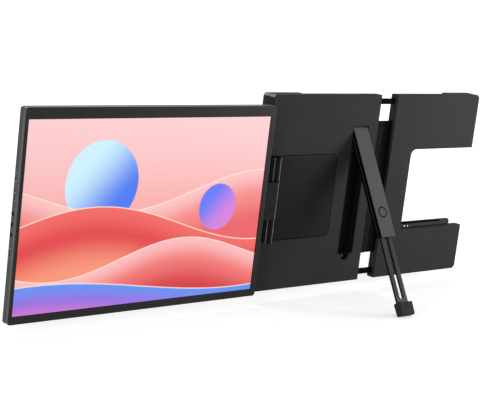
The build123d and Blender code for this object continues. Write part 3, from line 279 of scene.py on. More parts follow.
def finish(name, tone, rough, metal=0.0, specular=0.02, grain=900.0, depth=0.02 * MM,
           spread=0.12, stretch=None, soften=0.4 * MM, wear_and_highlight=1.6, patches=(), coat=0.0,
           coat_rough=0.08):
    """A solid finish: tone +- spread, roughness 0.85 to 1.1 times its value, fine grain.

    Each patch is a function that gives a share from 0 to 1 over the surface, with the
    tone and roughness that hold where the share is 1. A clear coat lies on the first one.
    """
    n = Nodes(name)
    fine = n.noise(grain, 2.0, stretch)
    broad = n.noise(BROAD_GRAIN, 2.0)
    half_each = n.math("ADD", n.math("MULTIPLY", fine, 0.5), n.math("MULTIPLY", broad, 0.5))
    shade = n.step(half_each, 0.3, 0.7)

    def varied(tone):
        return n.mix(shade, lighter(tone, 1 - spread), lighter(tone, 1 + spread))

    def roughened(rough):
        return n.step(fine, 0.25, 0.75, rough * SMOOTHEST, rough * ROUGHEST)

    colour, roughness = varied(tone), roughened(rough)
    bevel = n.rounded(soften) if soften else None
    if soften:
        # Edges are painted lighter: partly wear, partly a painted highlight.
        edge = n.math("MULTIPLY", edge_wear_highlight_share(n, bevel), EDGE_STRENGTH)
        colour = n.mix(edge, colour, lighter(tone, wear_and_highlight))
    for number, (share_of, patch_tone, patch_rough) in enumerate(patches):
        share = share_of(n)
        colour = n.mix(share, colour, varied(patch_tone))
        roughness = n.blend(share, roughness, roughened(patch_rough))
        if coat and number == 0:
            n.set(Coat_Weight=n.math("MULTIPLY", share, coat), Coat_Roughness=coat_rough)
    n.set(Base_Color=colour, Roughness=roughness, Metallic=metal, Specular_IOR_Level=specular,
          Normal=n.relief(fine, depth, bevel))
    return n.material


# %% [markdown]
# ## Places that differ on one piece
# Some pieces change finish within themselves. The kickstand has a grey face and black flanks,
# and the floors of its grooves and the moat round its button are painted dark as shade; the
# pocket is painted blacker than the shell round it as its shade, and the sockets are painted
# black deep inside as shade; the hinge's barrels are polished while its leaf is satin with a
# rim painted dark as shade, and thin painted highlights lie on the barrels, the leaf's upper
# bevel and the panel's upper corner. Such places could be cut off as meshes of their own, but
# the frame's meshes stay as they are, so each place is a share from 0 to 1 that the shader
# works out. Shares that follow the direction of the surface use its normal, and shares that
# follow the place use its coordinates.
# %% Measures on a surface
def facing(n, direction):
    """Cosine between the surface, in the object's own axes, and a direction."""
    normal = n.tree.nodes.new("ShaderNodeTexCoord").outputs["Normal"]
    return n.vector("DOT_PRODUCT", normal, direction)


def along(n, direction):
    """The object coordinate along a direction."""
    return n.vector("DOT_PRODUCT", n.place(), direction)


def from_axis(n, name, direction):
    """Distance from the axis of a round piece: the length of the cross product of the way
    from its centre with the unit vector along the axis."""
    low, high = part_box(name)
    way = n.vector("SUBTRACT", n.place(), (low + high) / 2)
    return n.vector("LENGTH", n.vector("CROSS_PRODUCT", way, direction))


def between(n, value, low, high, soft):
    """1 between two numbers, falling to 0 over a soft width outside them."""
    return n.math("MULTIPLY", n.step(value, low - soft, low), n.step(value, high + soft, high))


def reach(n, a, b):
    """Length of the way with sides a and b: the root of the sum of their squares."""
    return n.math("SQRT", n.math("ADD", n.math("MULTIPLY", a, a), n.math("MULTIPLY", b, b)))


# %% Places on the kickstand
stand_axis = np.array(joints["stand_fold"]["pos_m"], float)
leg_down = np.array(joints["leg_slide"]["axis"], float)
stand_out = np.cross(leg_down, X)
flank_top, flank_full = -1.2 * MM, -1.4 * MM
groove_low, groove_high = -1.0 * MM, -0.2 * MM
moat_inner, moat_outer = 5.7 * MM, 7.2 * MM
print("the kickstand's face looks along", stand_out.round(3))


def stand_height(n):
    """Height over the kickstand's axis, along the way its face looks."""
    return n.math("SUBTRACT", along(n, stand_out), float(stand_axis @ stand_out))


def off_the_face(n):
    """1 where the surface turns off the kickstand's face, and all over its lower half."""
    turned = n.step(facing(n, stand_out), 0.8, 0.5)
    return n.math("MAXIMUM", turned, n.step(stand_height(n), flank_top, flank_full))


def groove_shade(n):
    """1 on the floors between the leg's ridges, which lie just below its face; they are painted darker as shade.
    """
    return between(n, stand_height(n), groove_low, groove_high, 0.1 * MM)


def moat_shade_share(n):
    """1 on the rims and the floor of the moat round the release button, painted dark as its shade."""
    return between(n, from_axis(n, "release_button", stand_out), moat_inner, moat_outer, 0.25 * MM)


# %% Places on the monitor
key_ring_inner, key_ring_outer = 2.6 * MM, 2.9 * MM
socket_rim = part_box("usb_c_socket_upper")[0].x
print("the monitor's sockets open at x =", round(socket_rim / MM, 1), "mm")


def key_rings(n):
    """1 close round the three keys in the monitor's edge."""
    share = 0.0
    for name in ("power_button", "up_button", "down_button"):
        ring = n.step(from_axis(n, name, X), key_ring_outer, key_ring_inner)
        share = n.math("MAXIMUM", ring, share)
    return n.math("MULTIPLY", share, n.step(facing(n, -X), 0.5, 0.8))


def off_the_front(n):
    """1 where the surface turns away from the display's direction."""
    return n.step(facing(n, -Y), 0.95, 0.6)


def socket_mouth_shade(n):
    """1 deep inside a socket, 0 on its rim at the monitor's edge: painted shade in the socket's mouth."""
    return n.step(along(n, X), socket_rim + 0.25 * MM, socket_rim + 0.6 * MM)


# %% Places on the hinge
hinge_place = np.array(joints["screen_swing"]["pos_m"], float)
barrel_end = float(hinge_place[0]) + 6.0 * MM
leaf_low, leaf_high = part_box("hinge_leaf")
leaf_corner = 9.0 * MM
bevel_low, bevel_high = leaf_high.z - 2.2 * MM, leaf_high.z - 1.2 * MM
print("the hinge leaf is", round((leaf_high.z - leaf_low.z) / MM, 1), "mm tall")


def leaf_rim_shade(n):
    """1 near the leaf's border, painted dark as the shade of the gap round it: the distance to a rectangle with
    rounded corners.
    """
    right = n.math("MAXIMUM", n.math("SUBTRACT", along(n, X), leaf_high.x - leaf_corner), 0.0)
    middle, half = (leaf_low.z + leaf_high.z) / 2, (leaf_high.z - leaf_low.z) / 2
    tall = n.math("ABSOLUTE", n.math("SUBTRACT", along(n, Z), middle))
    tall = n.math("MAXIMUM", n.math("SUBTRACT", tall, half - leaf_corner), 0.0)
    return n.step(reach(n, right, tall), leaf_corner - 1.0 * MM, leaf_corner - 0.7 * MM)


def on_the_barrels(n):
    """1 on the hinge's barrels, 0 on the leaf beside them."""
    return n.step(along(n, X), barrel_end + 1.0 * MM, barrel_end)


def on_the_knuckle(n):
    """1 on the knuckle between the hinge's barrels."""
    low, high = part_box("hinge_knuckle")
    return n.math("MULTIPLY", on_the_barrels(n), between(n, along(n, Z), low.z, high.z, 0.1 * MM))


def leaf_bevel_highlight(n):
    """1 on the narrow bevel below the leaf's upper rim, which gets a painted highlight."""
    beside = n.math("SUBTRACT", 1.0, on_the_barrels(n))
    return n.math("MULTIPLY", beside, between(n, along(n, Z), bevel_low, bevel_high, 0.2 * MM))


def barrel_right_highlight(n):
    """1 on the narrow painted highlight along the right side of the hinge's barrels."""
    return n.math("MULTIPLY", on_the_barrels(n), between(n, facing(n, X), 0.52, 0.8, 0.06))


def barrel_left_highlight(n):
    """1 on the fainter painted highlight along the left side of the hinge's barrels."""
    return n.math("MULTIPLY", on_the_barrels(n), between(n, facing(n, -X), 0.90, 0.94, 0.03))


# %% Places on the panels
shell_low, shell_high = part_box("main_rear_cover")
floor_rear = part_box("main_base_plate")[0].y
pocket_half, pocket_edge, pocket_fade = 14.3 * MM, 14.6 * MM, 9.0 * MM
plate_wide = 15.0 * MM
corner_near, corner_far = shell_low.x + 10.0 * MM, shell_low.x + 12.0 * MM
corner_out = (-0.707, 0, 0.707)
print("the main panel's shell is", round((shell_high.x - shell_low.x) / MM, 1), "mm wide")


def plate_step(n):
    """1 on the part of the slide plate next to the main panel."""
    low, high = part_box("slide_plate")
    tall = between(n, along(n, Z), low.z, high.z, 1.0 * MM)
    beside = between(n, along(n, X), shell_high.x, shell_high.x + plate_wide, 0.8 * MM)
    return n.math("MULTIPLY", tall, beside)


def pocket_side(n):
    """Distance to the right of the pocket's middle."""
    return n.math("SUBTRACT", along(n, X), float(stand_axis[0]))


def pocket_shade(n):
    """1 below the rear face and within the pocket's width, 0 on the shell round it: painted shade inside the
    pocket.
    """
    across = n.math("ABSOLUTE", pocket_side(n))
    below = n.step(along(n, Y), shell_low.y + 0.3 * MM, shell_low.y + 1.2 * MM)
    return n.math("MULTIPLY", below, n.step(across, pocket_edge, pocket_half))


def pocket_floor_shade(n):
    """Painted shade on the rear face of the base plate within the pocket's width, fading to its left as painted
    light.
    """
    across = pocket_side(n)
    left = n.step(across, -pocket_edge, -pocket_fade)
    right = n.step(across, pocket_edge, pocket_half)
    rear = n.step(along(n, Y), floor_rear + 0.9 * MM, floor_rear + 0.6 * MM)
    return n.math("MULTIPLY", rear, n.math("MULTIPLY", left, right))


def corner_highlight_share(n):
    """1 on the round upper corner of the main panel's outer edge, which gets a painted highlight."""
    near = n.step(along(n, X), corner_far, corner_near)
    return n.math("MULTIPLY", near, between(n, facing(n, corner_out), 0.93, 1.1, 0.06))


# %% Paints
black = grey(10)
# A painted highlight on the main panel's round upper corner, for shell, base plate and hooks.
painted_corner_highlight = (corner_highlight_share, grey(140), 0.4)
# Painted shade in the moat round the release button.
moat_shade = (moat_shade_share, grey(16), 0.5)
recipes = {
    # Shell and base plate: painted shade in the kickstand's pocket, painted highlight on the upper corner.
    "shell_plastic": dict(tone=grey(49), rough=0.55,
                          patches=[(pocket_shade, grey(21), 0.6), painted_corner_highlight]),
    "plate_plastic": dict(tone=grey(60), rough=0.55,
                          patches=[(pocket_floor_shade, grey(21), 0.6), painted_corner_highlight]),
    "pad_rubber": dict(tone=linear(40, 40, 41), rough=0.8, grain=500, depth=0.05 * MM),
    "foot_rubber": dict(tone=grey(52), rough=0.62, grain=700, depth=0.03 * MM),
    # The hinge leaf's rim is painted shade; the leaf's bevel and the two barrel lines are painted highlights.
    "hinge_metal": dict(tone=grey(33), rough=0.42, grain=1500, depth=0.01 * MM,
                        soften=0.5 * MM, wear_and_highlight=2.0, coat=0.05,
                        patches=[(on_the_barrels, grey(16), 0.35), (on_the_knuckle, grey(30), 0.4),
                                 (leaf_bevel_highlight, grey(46), 0.42), (leaf_rim_shade, black, 0.5),
                                 (barrel_right_highlight, grey(180), 0.4), (barrel_left_highlight, grey(120), 0.4)]),
    # The leg's groove floors and the moat round the release button are painted shade.
    "stand_metal": dict(tone=grey(88), rough=0.5, grain=1400, depth=0.01 * MM, wear_and_highlight=1.4,
                        patches=[(off_the_face, grey(5), 0.5), (groove_shade, grey(60), 0.5),
                                 moat_shade]),
    "button_plastic": dict(tone=grey(88), rough=0.5, soften=0.3 * MM, wear_and_highlight=1.0,
                           patches=[moat_shade]),
    "key_plastic": dict(tone=grey(6), rough=0.25, specular=0.04, depth=0.004 * MM, wear_and_highlight=3.0),
    # Dark paint, darkened further as painted shade of the gap between the panels; the band beside the main panel
    # (plate_step) is painted lighter.
    "slide_metal": dict(tone=grey(18), rough=0.5, specular=0.0, grain=300, depth=0.006 * MM,
                        stretch=(0.05, 1, 1), patches=[(plate_step, linear(34, 34, 33), 0.5)]),
    # Near black, so that the ledge strip reads as the slot's painted shade.
    "guide_plastic": dict(tone=grey(12), rough=0.6, specular=0.0),
    "screw_steel": dict(tone=linear(105, 106, 108), rough=0.35, metal=1.0, grain=1800,
                        depth=0.01 * MM, soften=0.1 * MM),
    "pin_steel": dict(tone=linear(226, 227, 229), rough=0.25, metal=1.0, grain=1800,
                      depth=0.005 * MM, soften=0.1 * MM),
    "spring_steel": dict(tone=linear(175, 178, 182), rough=0.3, metal=1.0, grain=2000,
                         depth=0.005 * MM, soften=0.0),
    "washer_plastic": dict(tone=linear(30, 30, 31), rough=0.6),
    "magnet_metal": dict(tone=linear(60, 60, 62), rough=0.2, metal=1.0, depth=0.003 * MM,
                         soften=0.2 * MM),
    "bush_brass": dict(tone=linear(205, 170, 100), rough=0.3, metal=1.0, stretch=(1, 0.1, 0.1)),
    "bezel_plastic": dict(tone=grey(43), rough=0.4, specular=0.06, grain=1500, depth=0.008 * MM,
                          wear_and_highlight=1.8, coat=0.7, coat_rough=0.3,
                          patches=[(off_the_front, grey(56), 0.45)]),
    "monitor_plastic": dict(tone=grey(54), rough=0.45, specular=0.25,
                            patches=[(key_rings, black, 0.5)]),
    "sheet_metal": dict(tone=linear(200, 202, 204), rough=0.35, metal=1.0, stretch=(1, 1, 0.05)),
    # The socket steel is painted black deep in its mouth as shade.
    "socket_steel": dict(tone=linear(190, 191, 193), rough=0.25, metal=1.0, grain=1500,
                         depth=0.004 * MM, soften=0.1 * MM,
                         patches=[(socket_mouth_shade, black, 0.6)]),
    "switch_plastic": dict(tone=grey(60), rough=0.5),
}
paint = {slot: finish(slot.replace("_", " "), **recipe) for slot, recipe in recipes.items()}
# The hooks are smoother and also take the painted corner highlight.
hook_paint = finish("hook plastic", grey(26), 0.3, specular=0.12, depth=0.006 * MM, wear_and_highlight=2.2,
                    patches=[painted_corner_highlight])
print(len(paint), "solid finishes")

# %% [markdown]
# ## Circuit board
# The monitor's driver board has green lacquer over fine copper lines. The lines could be
# modelled one by one, but the board is hidden in the casing, so a brick pattern on the
# board's own plane gives a regular net of tracks.
# %% Board finish
board = Nodes("board resin")
axes = board.tree.nodes.new("ShaderNodeSeparateXYZ")
board.put(axes.inputs[0], board.place())
plane = board.tree.nodes.new("ShaderNodeCombineXYZ")
board.put(plane.inputs[0], axes.outputs[0])
board.put(plane.inputs[1], axes.outputs[2])
tracks = board.tree.nodes.new("ShaderNodeTexBrick")
board.put(tracks.inputs["Vector"], plane.outputs[0])
for key, value in (("Scale", 90.0), ("Mortar Size", 0.03), ("Brick Width", 0.9),
                   ("Row Height", 0.25), ("Color1", linear(20, 92, 52)),
                   ("Color2", linear(16, 80, 46)), ("Mortar", linear(66, 140, 84))):
    tracks.inputs[key].default_value = value
board.set(Base_Color=tracks.outputs["Color"],
          Roughness=board.step(board.noise(800.0), 0.3, 0.7, 0.3, 0.45))
paint["board_resin"] = board.material
print("board finish", len(board.tree.nodes), "nodes")

# %% [markdown]
# ## The lit display
# The display is a lit panel behind a thin dark border. It could show a stored image, but a
# formula needs no file and stays sharp at any size, so its picture is a plain design of
# soft dunes under discs. Each dune is everything below a sine crest,
# v < a + b sin(2 pi (k u + p)), and fades from its crest colour to a deeper one. u runs
# along the display and v up it, both from 0 to 1.
# %% Display coordinates
low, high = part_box("display_panel")
border = 1.6 * MM
wide = (high.x - low.x) / (high.z - low.z)
glass = Nodes("display glass")
u = glass.step(along(glass, X), low.x + border, high.x - border, smooth=False)
v = glass.step(along(glass, Z), low.z + border, high.z - border, smooth=False)
print("the display is", round(wide, 3), "times as wide as tall")


# %% Dunes and discs
def crest(a, b, k, p):
    """Height of a dune's crest along u."""
    turn = glass.math("ADD", glass.math("MULTIPLY", u, 2 * np.pi * k), 2 * np.pi * p)
    return glass.math("ADD", glass.math("MULTIPLY", glass.math("SINE", turn), b), a)


def disc(picture, x, y, radius, first, last, edge=0.004):
    """A disc that fades from its upper left to its lower right, laid over a picture."""
    dx = glass.math("MULTIPLY", glass.math("SUBTRACT", u, x), wide)
    dy = glass.math("SUBTRACT", v, y)
    share = glass.step(reach(glass, dx, dy), radius + edge, radius - edge)
    slant = glass.step(glass.math("SUBTRACT", dx, dy), -radius, radius)
    return glass.mix(share, picture, glass.mix(slant, first, last))


def dune(picture, shape, fade, bright, middle, deep):
    """A dune in three tones with a pale line on its crest, laid over a picture."""
    below = glass.math("SUBTRACT", crest(*shape), v)
    lower = glass.mix(glass.step(below, fade * 0.35, fade), middle, deep)
    tone = glass.mix(glass.step(below, 0.0, fade * 0.5), bright, lower)
    picture = glass.mix(glass.step(below, -0.003, 0.003), picture, tone)
    line = glass.math("MULTIPLY", glass.step(below, -0.005, 0.0), glass.step(below, 0.006, 0.001))
    return glass.mix(glass.math("MULTIPLY", line, 0.8), picture, linear(255, 238, 220))


picture = glass.mix(glass.step(v, 0.25, 1.0), linear(250, 160, 152), linear(253, 206, 208))
picture = disc(picture, 0.30, 0.66, 0.23, linear(206, 242, 255), linear(70, 120, 242))
picture = dune(picture, (0.60, 0.10, 0.8, 0.45), 0.3,
               linear(252, 196, 196), linear(246, 140, 138), linear(236, 96, 100))
picture = disc(picture, 0.80, 0.50, 0.13, linear(96, 120, 248), linear(214, 128, 222))
picture = dune(picture, (0.42, 0.12, 0.7, 0.05), 0.34,
               linear(244, 104, 98), linear(226, 58, 66), linear(250, 150, 120))
picture = dune(picture, (0.25, 0.09, 0.95, 0.62), 0.28,
               linear(252, 190, 190), linear(244, 120, 118), linear(214, 52, 62))
picture = dune(picture, (0.09, 0.06, 0.6, 0.2), 0.2,
               linear(96, 146, 246), linear(150, 112, 226), linear(228, 120, 196))

# %% Display finish
inside_u = glass.math("MULTIPLY", glass.step(u, 0.0, 0.001), glass.step(u, 1.0, 0.999))
inside_v = glass.math("MULTIPLY", glass.step(v, 0.0, 0.0016), glass.step(v, 1.0, 0.9984))
lit = glass.math("MULTIPLY", glass.math("MULTIPLY", inside_u, inside_v), 0.97)
glass.set(Base_Color=linear(16, 16, 18), Roughness=0.3, Specular_IOR_Level=0.2,
          Emission_Color=picture, Emission_Strength=lit)
paint["display_glass"] = glass.material
print("display design", len(glass.tree.nodes), "nodes")

# %% [markdown]
# ## Paint the frame
# Every piece of the frame takes the finish of its material slot, so that pieces of one
# make look alike; only the hooks on the main panel's outer edge are polished smoother
# than the shell beside them.
# %% Paint
for name, node in nodes.items():
    polished = name.endswith("left_hook")
    node.data.materials.clear()
    node.data.materials.append(hook_paint if polished else paint[slot_of_node[name]])
print(len(nodes), "pieces painted")

# %% [markdown]
# ## Cross-slotted screws
# Small countersunk screws hold the plates and the monitor together. Their slots could be
# cut with a boolean, but that leaves ragged faces. Here a screw is a surface of
# revolution, radius r(i) at height h(i), whose flat head is pressed in where two crossed
# bars lie. The places come from the frame's own screws: points of one screw lie within a
# few millimetres of each other.
# %% Screws
screw_apart = 5 * MM
head_r, shank_r, head_depth, head_rim = 1.9 * MM, 1.0 * MM, 0.9 * MM, 0.1 * MM
bar_half, bar_reach, bar_slope = 0.17 * head_r, 0.62 * head_r, 0.12 * head_r


def cluster(points, axis):
    """Groups points into screws by their distance across the axis."""
    across = points - np.outer(points @ axis, axis)
    groups = []
    while len(points):
        near = np.linalg.norm(across - across[0], axis=1) < screw_apart
        groups.append(points[near])
        points, across = points[~near], across[~near]
    return groups


def cross_bar(a, b):
    """1 inside a bar of the cross, falling to 0 over its sloping sides."""
    side = np.clip((bar_half - np.abs(a)) / bar_slope + 0.5, 0, 1)
    end = np.clip((bar_reach - np.abs(b)) / bar_slope + 0.5, 0, 1)
    return side * end


def screw_grid(middle, axis, length, rows=15, cols=48):
    """Rings (r cos t, r sin t, h): the head, half as deep as itself in the cross, then its
    rim, cone, shank and tip."""
    turn = np.linspace(0, 2 * np.pi, cols, endpoint=False)
    cap = np.linspace(0, 1, rows)[:, None] * head_r
    x, y = cap * np.cos(turn), cap * np.sin(turn)
    height = -0.5 * head_depth * np.maximum(cross_bar(x, y), cross_bar(y, x))
    rings = [np.stack([x, y, height], -1)]
    for r, h in ((head_r, -head_rim), (shank_r, -head_depth), (shank_r, -length), (0.0, -length)):
        rings.append(np.stack([r * np.cos(turn), r * np.sin(turn), np.full(cols, h)], -1)[None])
    return middle + np.concatenate(rings) @ np.stack([X, np.cross(axis, X), axis])


def replace_screws(name, body, axis):
    """One piece with all screws of a node, heads at the end the axis points to."""
    grids = []
    for group in cluster(points_of(name), axis):
        heights = group @ axis
        middle = (group.min(0) + group.max(0)) / 2
        middle += axis * (heights.max() - middle @ axis)
        grids.append(screw_grid(middle, axis, np.ptp(heights)))
    piece = make_piece(name + "_cross_slotted", grids, body, paint["screw_steel"])
    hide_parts(name)


for name, body in (("main_base_screws", "main_panel"), ("slide_plate_screws", "main_panel"),
                   ("clamp_base_screws", "clamp_panel"), ("rail_screws", "clamp_panel"),
                   ("cover_screws", "monitor"), ("bracket_screws", "monitor")):
    replace_screws(name, body, Y)

# %% [markdown]
# ## Wound springs
# Two close-wound springs draw the panels together. A curve with a round bevel could make
# them, but a tube from arrays is closed at its ends. Its centre line at turn t is
# (x0 + (x1 - x0) t, R cos(2 pi N t), R sin(2 pi N t)), and each point of the tube lies a
# wire radius away from it. At both ends the wire bends into an eye round its post.
# %% Springs
def tube_grid(path, radius, cols=8):
    """Rings path + r (cos t side + sin t over) across a path, closed by a point at each end."""
    ahead = np.gradient(path, axis=0)
    ahead /= np.linalg.norm(ahead, axis=1)[:, None]
    side = np.cross(ahead, (0.3, 1.0, 0.2))
    side /= np.linalg.norm(side, axis=1)[:, None]
    over = np.cross(ahead, side)
    turn = np.linspace(0, 2 * np.pi, cols, endpoint=False)[None, :, None]
    rings = path[:, None] + radius * (np.cos(turn) * side[:, None] + np.sin(turn) * over[:, None])
    ends = np.repeat(path[[0, -1]][:, None], cols, axis=1)
    return np.concatenate([ends[:1], rings, ends[1:]])


spring_low, spring_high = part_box("clamp_springs")
wire_r, coil_r, eye_r, eye_neck, post_inset = 0.4 * MM, 2.0 * MM, 2.0 * MM, 1.2 * MM, 2.7 * MM
coils, coil_points, eye_points = 90, 14, 22
y_spring = (spring_low.y + spring_high.y) / 2
post_left = spring_low.x + post_inset
post_right = spring_high.x - post_inset
start, end = post_left + eye_r + eye_neck, post_right - eye_r - eye_neck
t = np.linspace(0, 1, coils * coil_points)
a = 2 * np.pi * coils * t
b = np.linspace(-0.06, -0.94, eye_points) * 2 * np.pi
eye_x, eye_y, eye_z = eye_r * np.cos(b), np.full(eye_points, y_spring), eye_r * np.sin(b)
for level, word in ((spring_high.z - post_inset, "upper"), (spring_low.z + post_inset, "lower")):
    winding = np.stack([start + (end - start) * t, y_spring + coil_r * np.cos(a),
                        level + coil_r * np.sin(a)], -1)
    left_eye = np.stack([post_left + eye_x, eye_y, level + eye_z], -1)
    right_eye = np.stack([post_right - eye_x, eye_y, level - eye_z], -1)
    tube = tube_grid(np.concatenate([left_eye, winding, right_eye]), wire_r)
    spring = make_piece(f"{word}_clamp_spring", [tube], None, paint["spring_steel"])
    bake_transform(spring)
    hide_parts("clamp_springs")

# %% [markdown]
# ## Moulded foot
# The leg ends in a rounded rubber foot. A cube with a bevel would do for its edges, but
# not for its slight taper, so the foot is a formula: a point n of the unit sphere goes to
# sign(n) (half size - r) + r n, which keeps flat sides and rounds every edge by r. It is
# drawn in the leg's own directions: across, down the leg, and out of its face, and takes
# its size and place from the frame's own foot.
# %% Foot
foot_round = 2.2 * MM
taper_across, taper_along = 0.05, 0.04


def rounded_block(half, radius, rows=34, cols=68):
    """Grid of rings of a block with edges rounded by a radius."""
    polar = np.linspace(0, np.pi, rows)[:, None]
    turn = (np.linspace(0, 2 * np.pi, cols, endpoint=False) + np.pi / cols)[None, :]
    ring = np.sin(polar)
    ring[-1] = 0.0
    n = np.stack([ring * np.cos(turn), ring * np.sin(turn), np.cos(polar) + 0 * turn], -1)
    return np.sign(n) * (half - radius) + radius * n


leg_axes = np.stack([X, -stand_out, -leg_down])
foot_local = points_of("rubber_foot") @ leg_axes.T
foot_half = np.ptp(foot_local, axis=0) / 2
foot_middle = (foot_local.min(0) + foot_local.max(0)) / 2
block = rounded_block(foot_half, foot_round)
fall = (1 - block[..., 2] / foot_half[2]) / 2
block[..., 0] *= 1 - taper_across * fall ** 4
block[..., 1] *= 1 - taper_along * fall ** 4
foot = make_piece("moulded_foot", [(foot_middle + block) @ leg_axes], "leg", paint["foot_rubber"])
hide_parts("rubber_foot")
print("foot", (2 * foot_half / MM).round(1), "mm")

# %% [markdown]
# ## Ribbed pads
# The grip pads of both panels are moulded rubber with fine ribs along them. A bump in the
# material would show no ribs at their ends, so the ribs are part of the mesh. At a
# distance d from its nearest side, a pad's outer face lies R - sqrt(R^2 - (R - d)^2)
# lower, which rounds its rim, and h (1 - |cos(pi z / p)|) lower again, which makes ribs of
# pitch p.
# %% Pads
pad_rim, rib_pitch, rib_depth = 0.3 * MM, 3.2 * MM, 0.3 * MM
pad_gap = 30 * MM


def pad_boxes(points):
    """Lowest and highest corners of a node's pads, told apart by the gaps between them."""
    levels = np.unique(points[:, 2])
    starts = levels[1:][np.diff(levels) > pad_gap]
    owner = np.searchsorted(starts, points[:, 2], side="right")
    pads = [points[owner == number] for number in range(len(starts) + 1)]
    return [(pad.min(axis=0), pad.max(axis=0)) for pad in pads]


def pad_grid(low, high, rim_points=6, rib_points=81):
    """A pad's rows along x and columns across z, closed by its flat underside."""
    ease = pad_rim * (1 - np.cos(np.linspace(0, np.pi / 2, rim_points)))
    flat = np.linspace(low[2] + pad_rim, high[2] - pad_rim, rib_points)[1:-1]
    x = np.concatenate([low[0] + ease, high[0] - ease[::-1]])
    z = np.concatenate([low[2] + ease, flat, high[2] - ease[::-1]])
    x, z = np.meshgrid(x, z, indexing="ij")
    side = np.minimum.reduce([x - low[0], high[0] - x, z - low[2], high[2] - z])
    drop = pad_rim - np.sqrt(pad_rim ** 2 - (pad_rim - np.clip(side, 0, pad_rim)) ** 2)
    wave = 1 - np.abs(np.cos(np.pi * (z - low[2]) / rib_pitch))
    ribs = rib_depth * wave * np.clip(side / (2 * pad_rim), 0, 1)
    face = np.stack([x, high[1] - drop - ribs, z], -1)
    under = face[:, ::-1].copy()
    under[..., 1] = low[1]
    rows = np.concatenate([face, under], axis=1)
    ends = rows[[0, -1]].copy()
    ends[..., 1] = low[1]
    return np.concatenate([ends[:1], rows, ends[1:]])


for name, body in (("main_lid_pads", "main_panel"), ("clamp_lid_pads", "clamp_panel")):
    grids = [pad_grid(low, high) for low, high in pad_boxes(points_of(name))]
    pads = make_piece("ribbed_" + name, grids, body, paint["pad_rubber"])
    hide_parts(name)

# %% [markdown]
# ## Ledge trim
# The ledge in the cut-out has a long slot and two bright rivets at its left end; a black strip
# lies in the slot as its painted shade. They could be cut from ready shapes, but a few rings of
# points make them without seams. The strip is a stadium, a rectangle with round ends, whose rim
# is drawn in over three rings; a rivet is a dome, r = R sin(a) and h = H cos(a).
# %% Ledge strip
ROUND_COLS = 64
turn = np.linspace(0, 2 * np.pi, ROUND_COLS, endpoint=False) + np.pi / ROUND_COLS
slot_depth, strip_play = 1.0 * MM, 0.15 * MM
ledge_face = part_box("clamp_base_plate")[0].y
slot_floor = ledge_face + slot_depth
plate_points = points_of("clamp_base_plate")
slot = plate_points[np.abs(plate_points[:, 1] - slot_floor) < 0.05 * MM]
slot_low, slot_high = slot.min(0), slot.max(0)
slot_middle = (slot_low + slot_high) / 2
strip_r = (slot_high[2] - slot_low[2]) / 2 - strip_play
strip_run = (slot_high[0] - slot_low[0]) / 2 - strip_play - strip_r
rings = [(0.0, 0.0), (1.0, 0.0), (1.0, 0.3), (0.8, 0.42), (0.4, 0.46), (0.0, 0.48)]
share, rise = np.array(rings).T[..., None]
ends = np.sign(np.cos(turn)) * strip_run * (share > 0)
strip = np.stack([slot_middle[0] + ends + share * strip_r * np.cos(turn),
                  slot_floor - rise * MM + 0 * turn,
                  slot_middle[2] + share * strip_r * np.sin(turn)], -1)
# A black strip in the slot, standing in for the slot's shade.
make_piece("ledge_slot_shade_strip", [strip], "clamp_panel", paint["guide_plastic"])

# %% Ledge rivets
rivet_r, rivet_h = 1.2 * MM, 0.8 * MM
rivet_places, rivet_drop = (15.0 * MM, 22.0 * MM), 3.2 * MM
a = np.linspace(0, np.pi / 2, 8)
r = rivet_r * np.append(np.sin(a), 0)[:, None]
h = rivet_h * np.append(np.cos(a), 0)[:, None]
for number, place in enumerate(rivet_places):
    dome = np.stack([slot_low[0] + place + r * np.cos(turn), ledge_face - h + 0 * turn,
                     slot_low[2] - rivet_drop + r * np.sin(turn)], -1)
    make_piece(f"ledge_rivet_{number}", [dome], "clamp_panel", paint["pin_steel"])

# %% [markdown]
# ## Studio
# The object stands on a pale floor in a white surround. More light would make them white
# but wash out the object, so to the camera, and in mirrors and glass, the surround is
# plain white, while the light it sheds is gentler. The floor gets the same lift on top of
# its own shading, so it keeps the object's shadow.
# %% Floor
FLOOR_HALF, FLOOR_GAP = 12.0, 0.5 * MM
LIFT_NEAR, LIFT_FAR = 0.5, 1.3


def seen_directly(tree):
    """1 for rays from the camera, a mirror or a clear glass, 0 for scattered light."""
    path = tree.nodes.new("ShaderNodeLightPath")
    share = path.outputs["Is Camera Ray"]
    for other in ("Is Glossy Ray", "Is Transmission Ray"):
        either = tree.nodes.new("ShaderNodeMath")
        either.operation = "MAXIMUM"
        tree.links.new(share, either.inputs[0])
        tree.links.new(path.outputs[other], either.inputs[1])
        share = either.outputs[0]
    return share


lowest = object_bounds()[0][2] - FLOOR_GAP
signs = ((-1, -1), (1, -1), (1, 1), (-1, 1))
corners = [(x * FLOOR_HALF, y * FLOOR_HALF, lowest) for x, y in signs]
floor_mesh = bpy.data.meshes.new("floor")
floor_mesh.from_pydata(corners, [], [(0, 1, 2, 3)])
floor = bpy.data.objects.new("floor", floor_mesh)
bpy.context.scene.collection.objects.link(floor)
pale = Nodes("floor")
lift = pale.step(pale.vector("LENGTH", pale.place()), LIFT_NEAR, LIFT_FAR, 0.55, 1.0, smooth=False)
pale.set(Base_Color=(0.8, 0.8, 0.8, 1), Roughness=0.9, Specular_IOR_Level=0.0,
         Emission_Color=(1, 1, 1, 1),
         Emission_Strength=pale.math("MULTIPLY", seen_directly(pale.tree), lift))
floor_mesh.materials.append(pale.material)
print("floor at", round(lowest / MM, 1), "mm")

# %% Surround
SCATTERED_LEVEL = 0.28
world = bpy.data.worlds.new("surround")
world.use_nodes = True
bpy.context.scene.world = world
sky = world.node_tree.nodes["Background"]
sky.inputs["Color"].default_value = (1, 1, 1, 1)
level = world.node_tree.nodes.new("ShaderNodeMapRange")
level.inputs["To Min"].default_value = SCATTERED_LEVEL
world.node_tree.links.new(seen_directly(world.node_tree), level.inputs["Value"])
world.node_tree.links.new(level.outputs[0], sky.inputs["Strength"])
print("surround sheds", SCATTERED_LEVEL, "of its white")


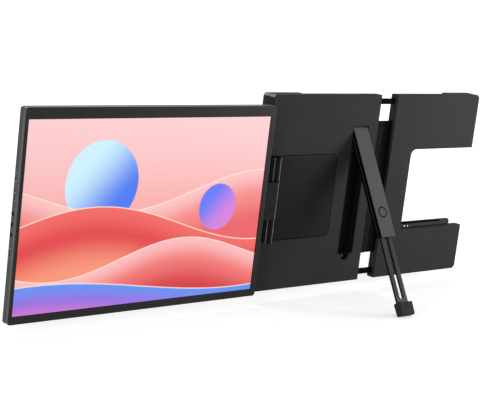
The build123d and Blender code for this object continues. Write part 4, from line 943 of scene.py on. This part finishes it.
# %% [markdown]
# ## Lights
# A single lamp would leave the dark flanks without shape. A soft light from the right
# grazes the panels and fades towards the left, so the kickstand's shadow falls across the
# hinge leaf. A tall weak one from the left fills it in and draws a line on the hinge's
# barrels. Others come from above and, for the upper edges, from behind.
# %% Lights
def soft_light(name, place, target, wide, high, power):
    """A rectangular area light that faces a target point; its height stands upright."""
    data = bpy.data.lights.new(name, "AREA")
    data.shape = "RECTANGLE"
    data.size = wide
    data.size_y = high
    data.energy = power
    light = bpy.data.objects.new(name, data)
    light.location = place
    light.rotation_euler = (Vector(target) - Vector(place)).to_track_quat("-Z", "Y").to_euler()
    bpy.context.scene.collection.objects.link(light)
    print(name, "light", power, "W")


soft_light("key", (1.25, -0.7, 0.1), (0.05, 0, 0), wide=0.5, high=0.5, power=17)
soft_light("left strip", (-1.35, -0.52, 0.1), tuple(hinge_place), wide=0.15, high=0.9, power=8)
soft_light("top", (0.0, -0.2, 1.5), (0, 0, 0), wide=1.4, high=1.0, power=4)
soft_light("rim", (-0.4, 1.1, 1.1), (-0.1, 0, 0.1), wide=0.7, high=0.5, power=6)

# %% [markdown]
# ## Camera
# The camera could be placed by eye, but matching the edges of the display and of the
# panels gives the photograph's own viewpoint: the camera's place, the way it looks and
# its upward way, in the object's frame, and its focal length in pixels.
# %% Camera
SENSOR_MM, IMAGE_PX, FOCAL_PX = 36.0, 480, 1446.7
camera_place = (-1.2946, -1.2659, 0.3413)
look = Vector((0.666, 0.717, -0.205)).normalized()
right = look.cross(Vector((0.052, 0.230, 0.972))).normalized()
over = right.cross(look)
turned = Matrix((right, over, -look)).transposed().to_4x4()
camera_data = bpy.data.cameras.new("camera")
camera_data.sensor_width = SENSOR_MM
camera_data.lens = SENSOR_MM * FOCAL_PX / IMAGE_PX
camera = bpy.data.objects.new("camera", camera_data)
camera.matrix_world = Matrix.Translation(camera_place) @ turned
bpy.context.scene.collection.objects.link(camera)
bpy.context.scene.camera = camera
bpy.context.scene.view_settings.view_transform = "Standard"
print("lens", round(camera_data.lens, 1), "mm")
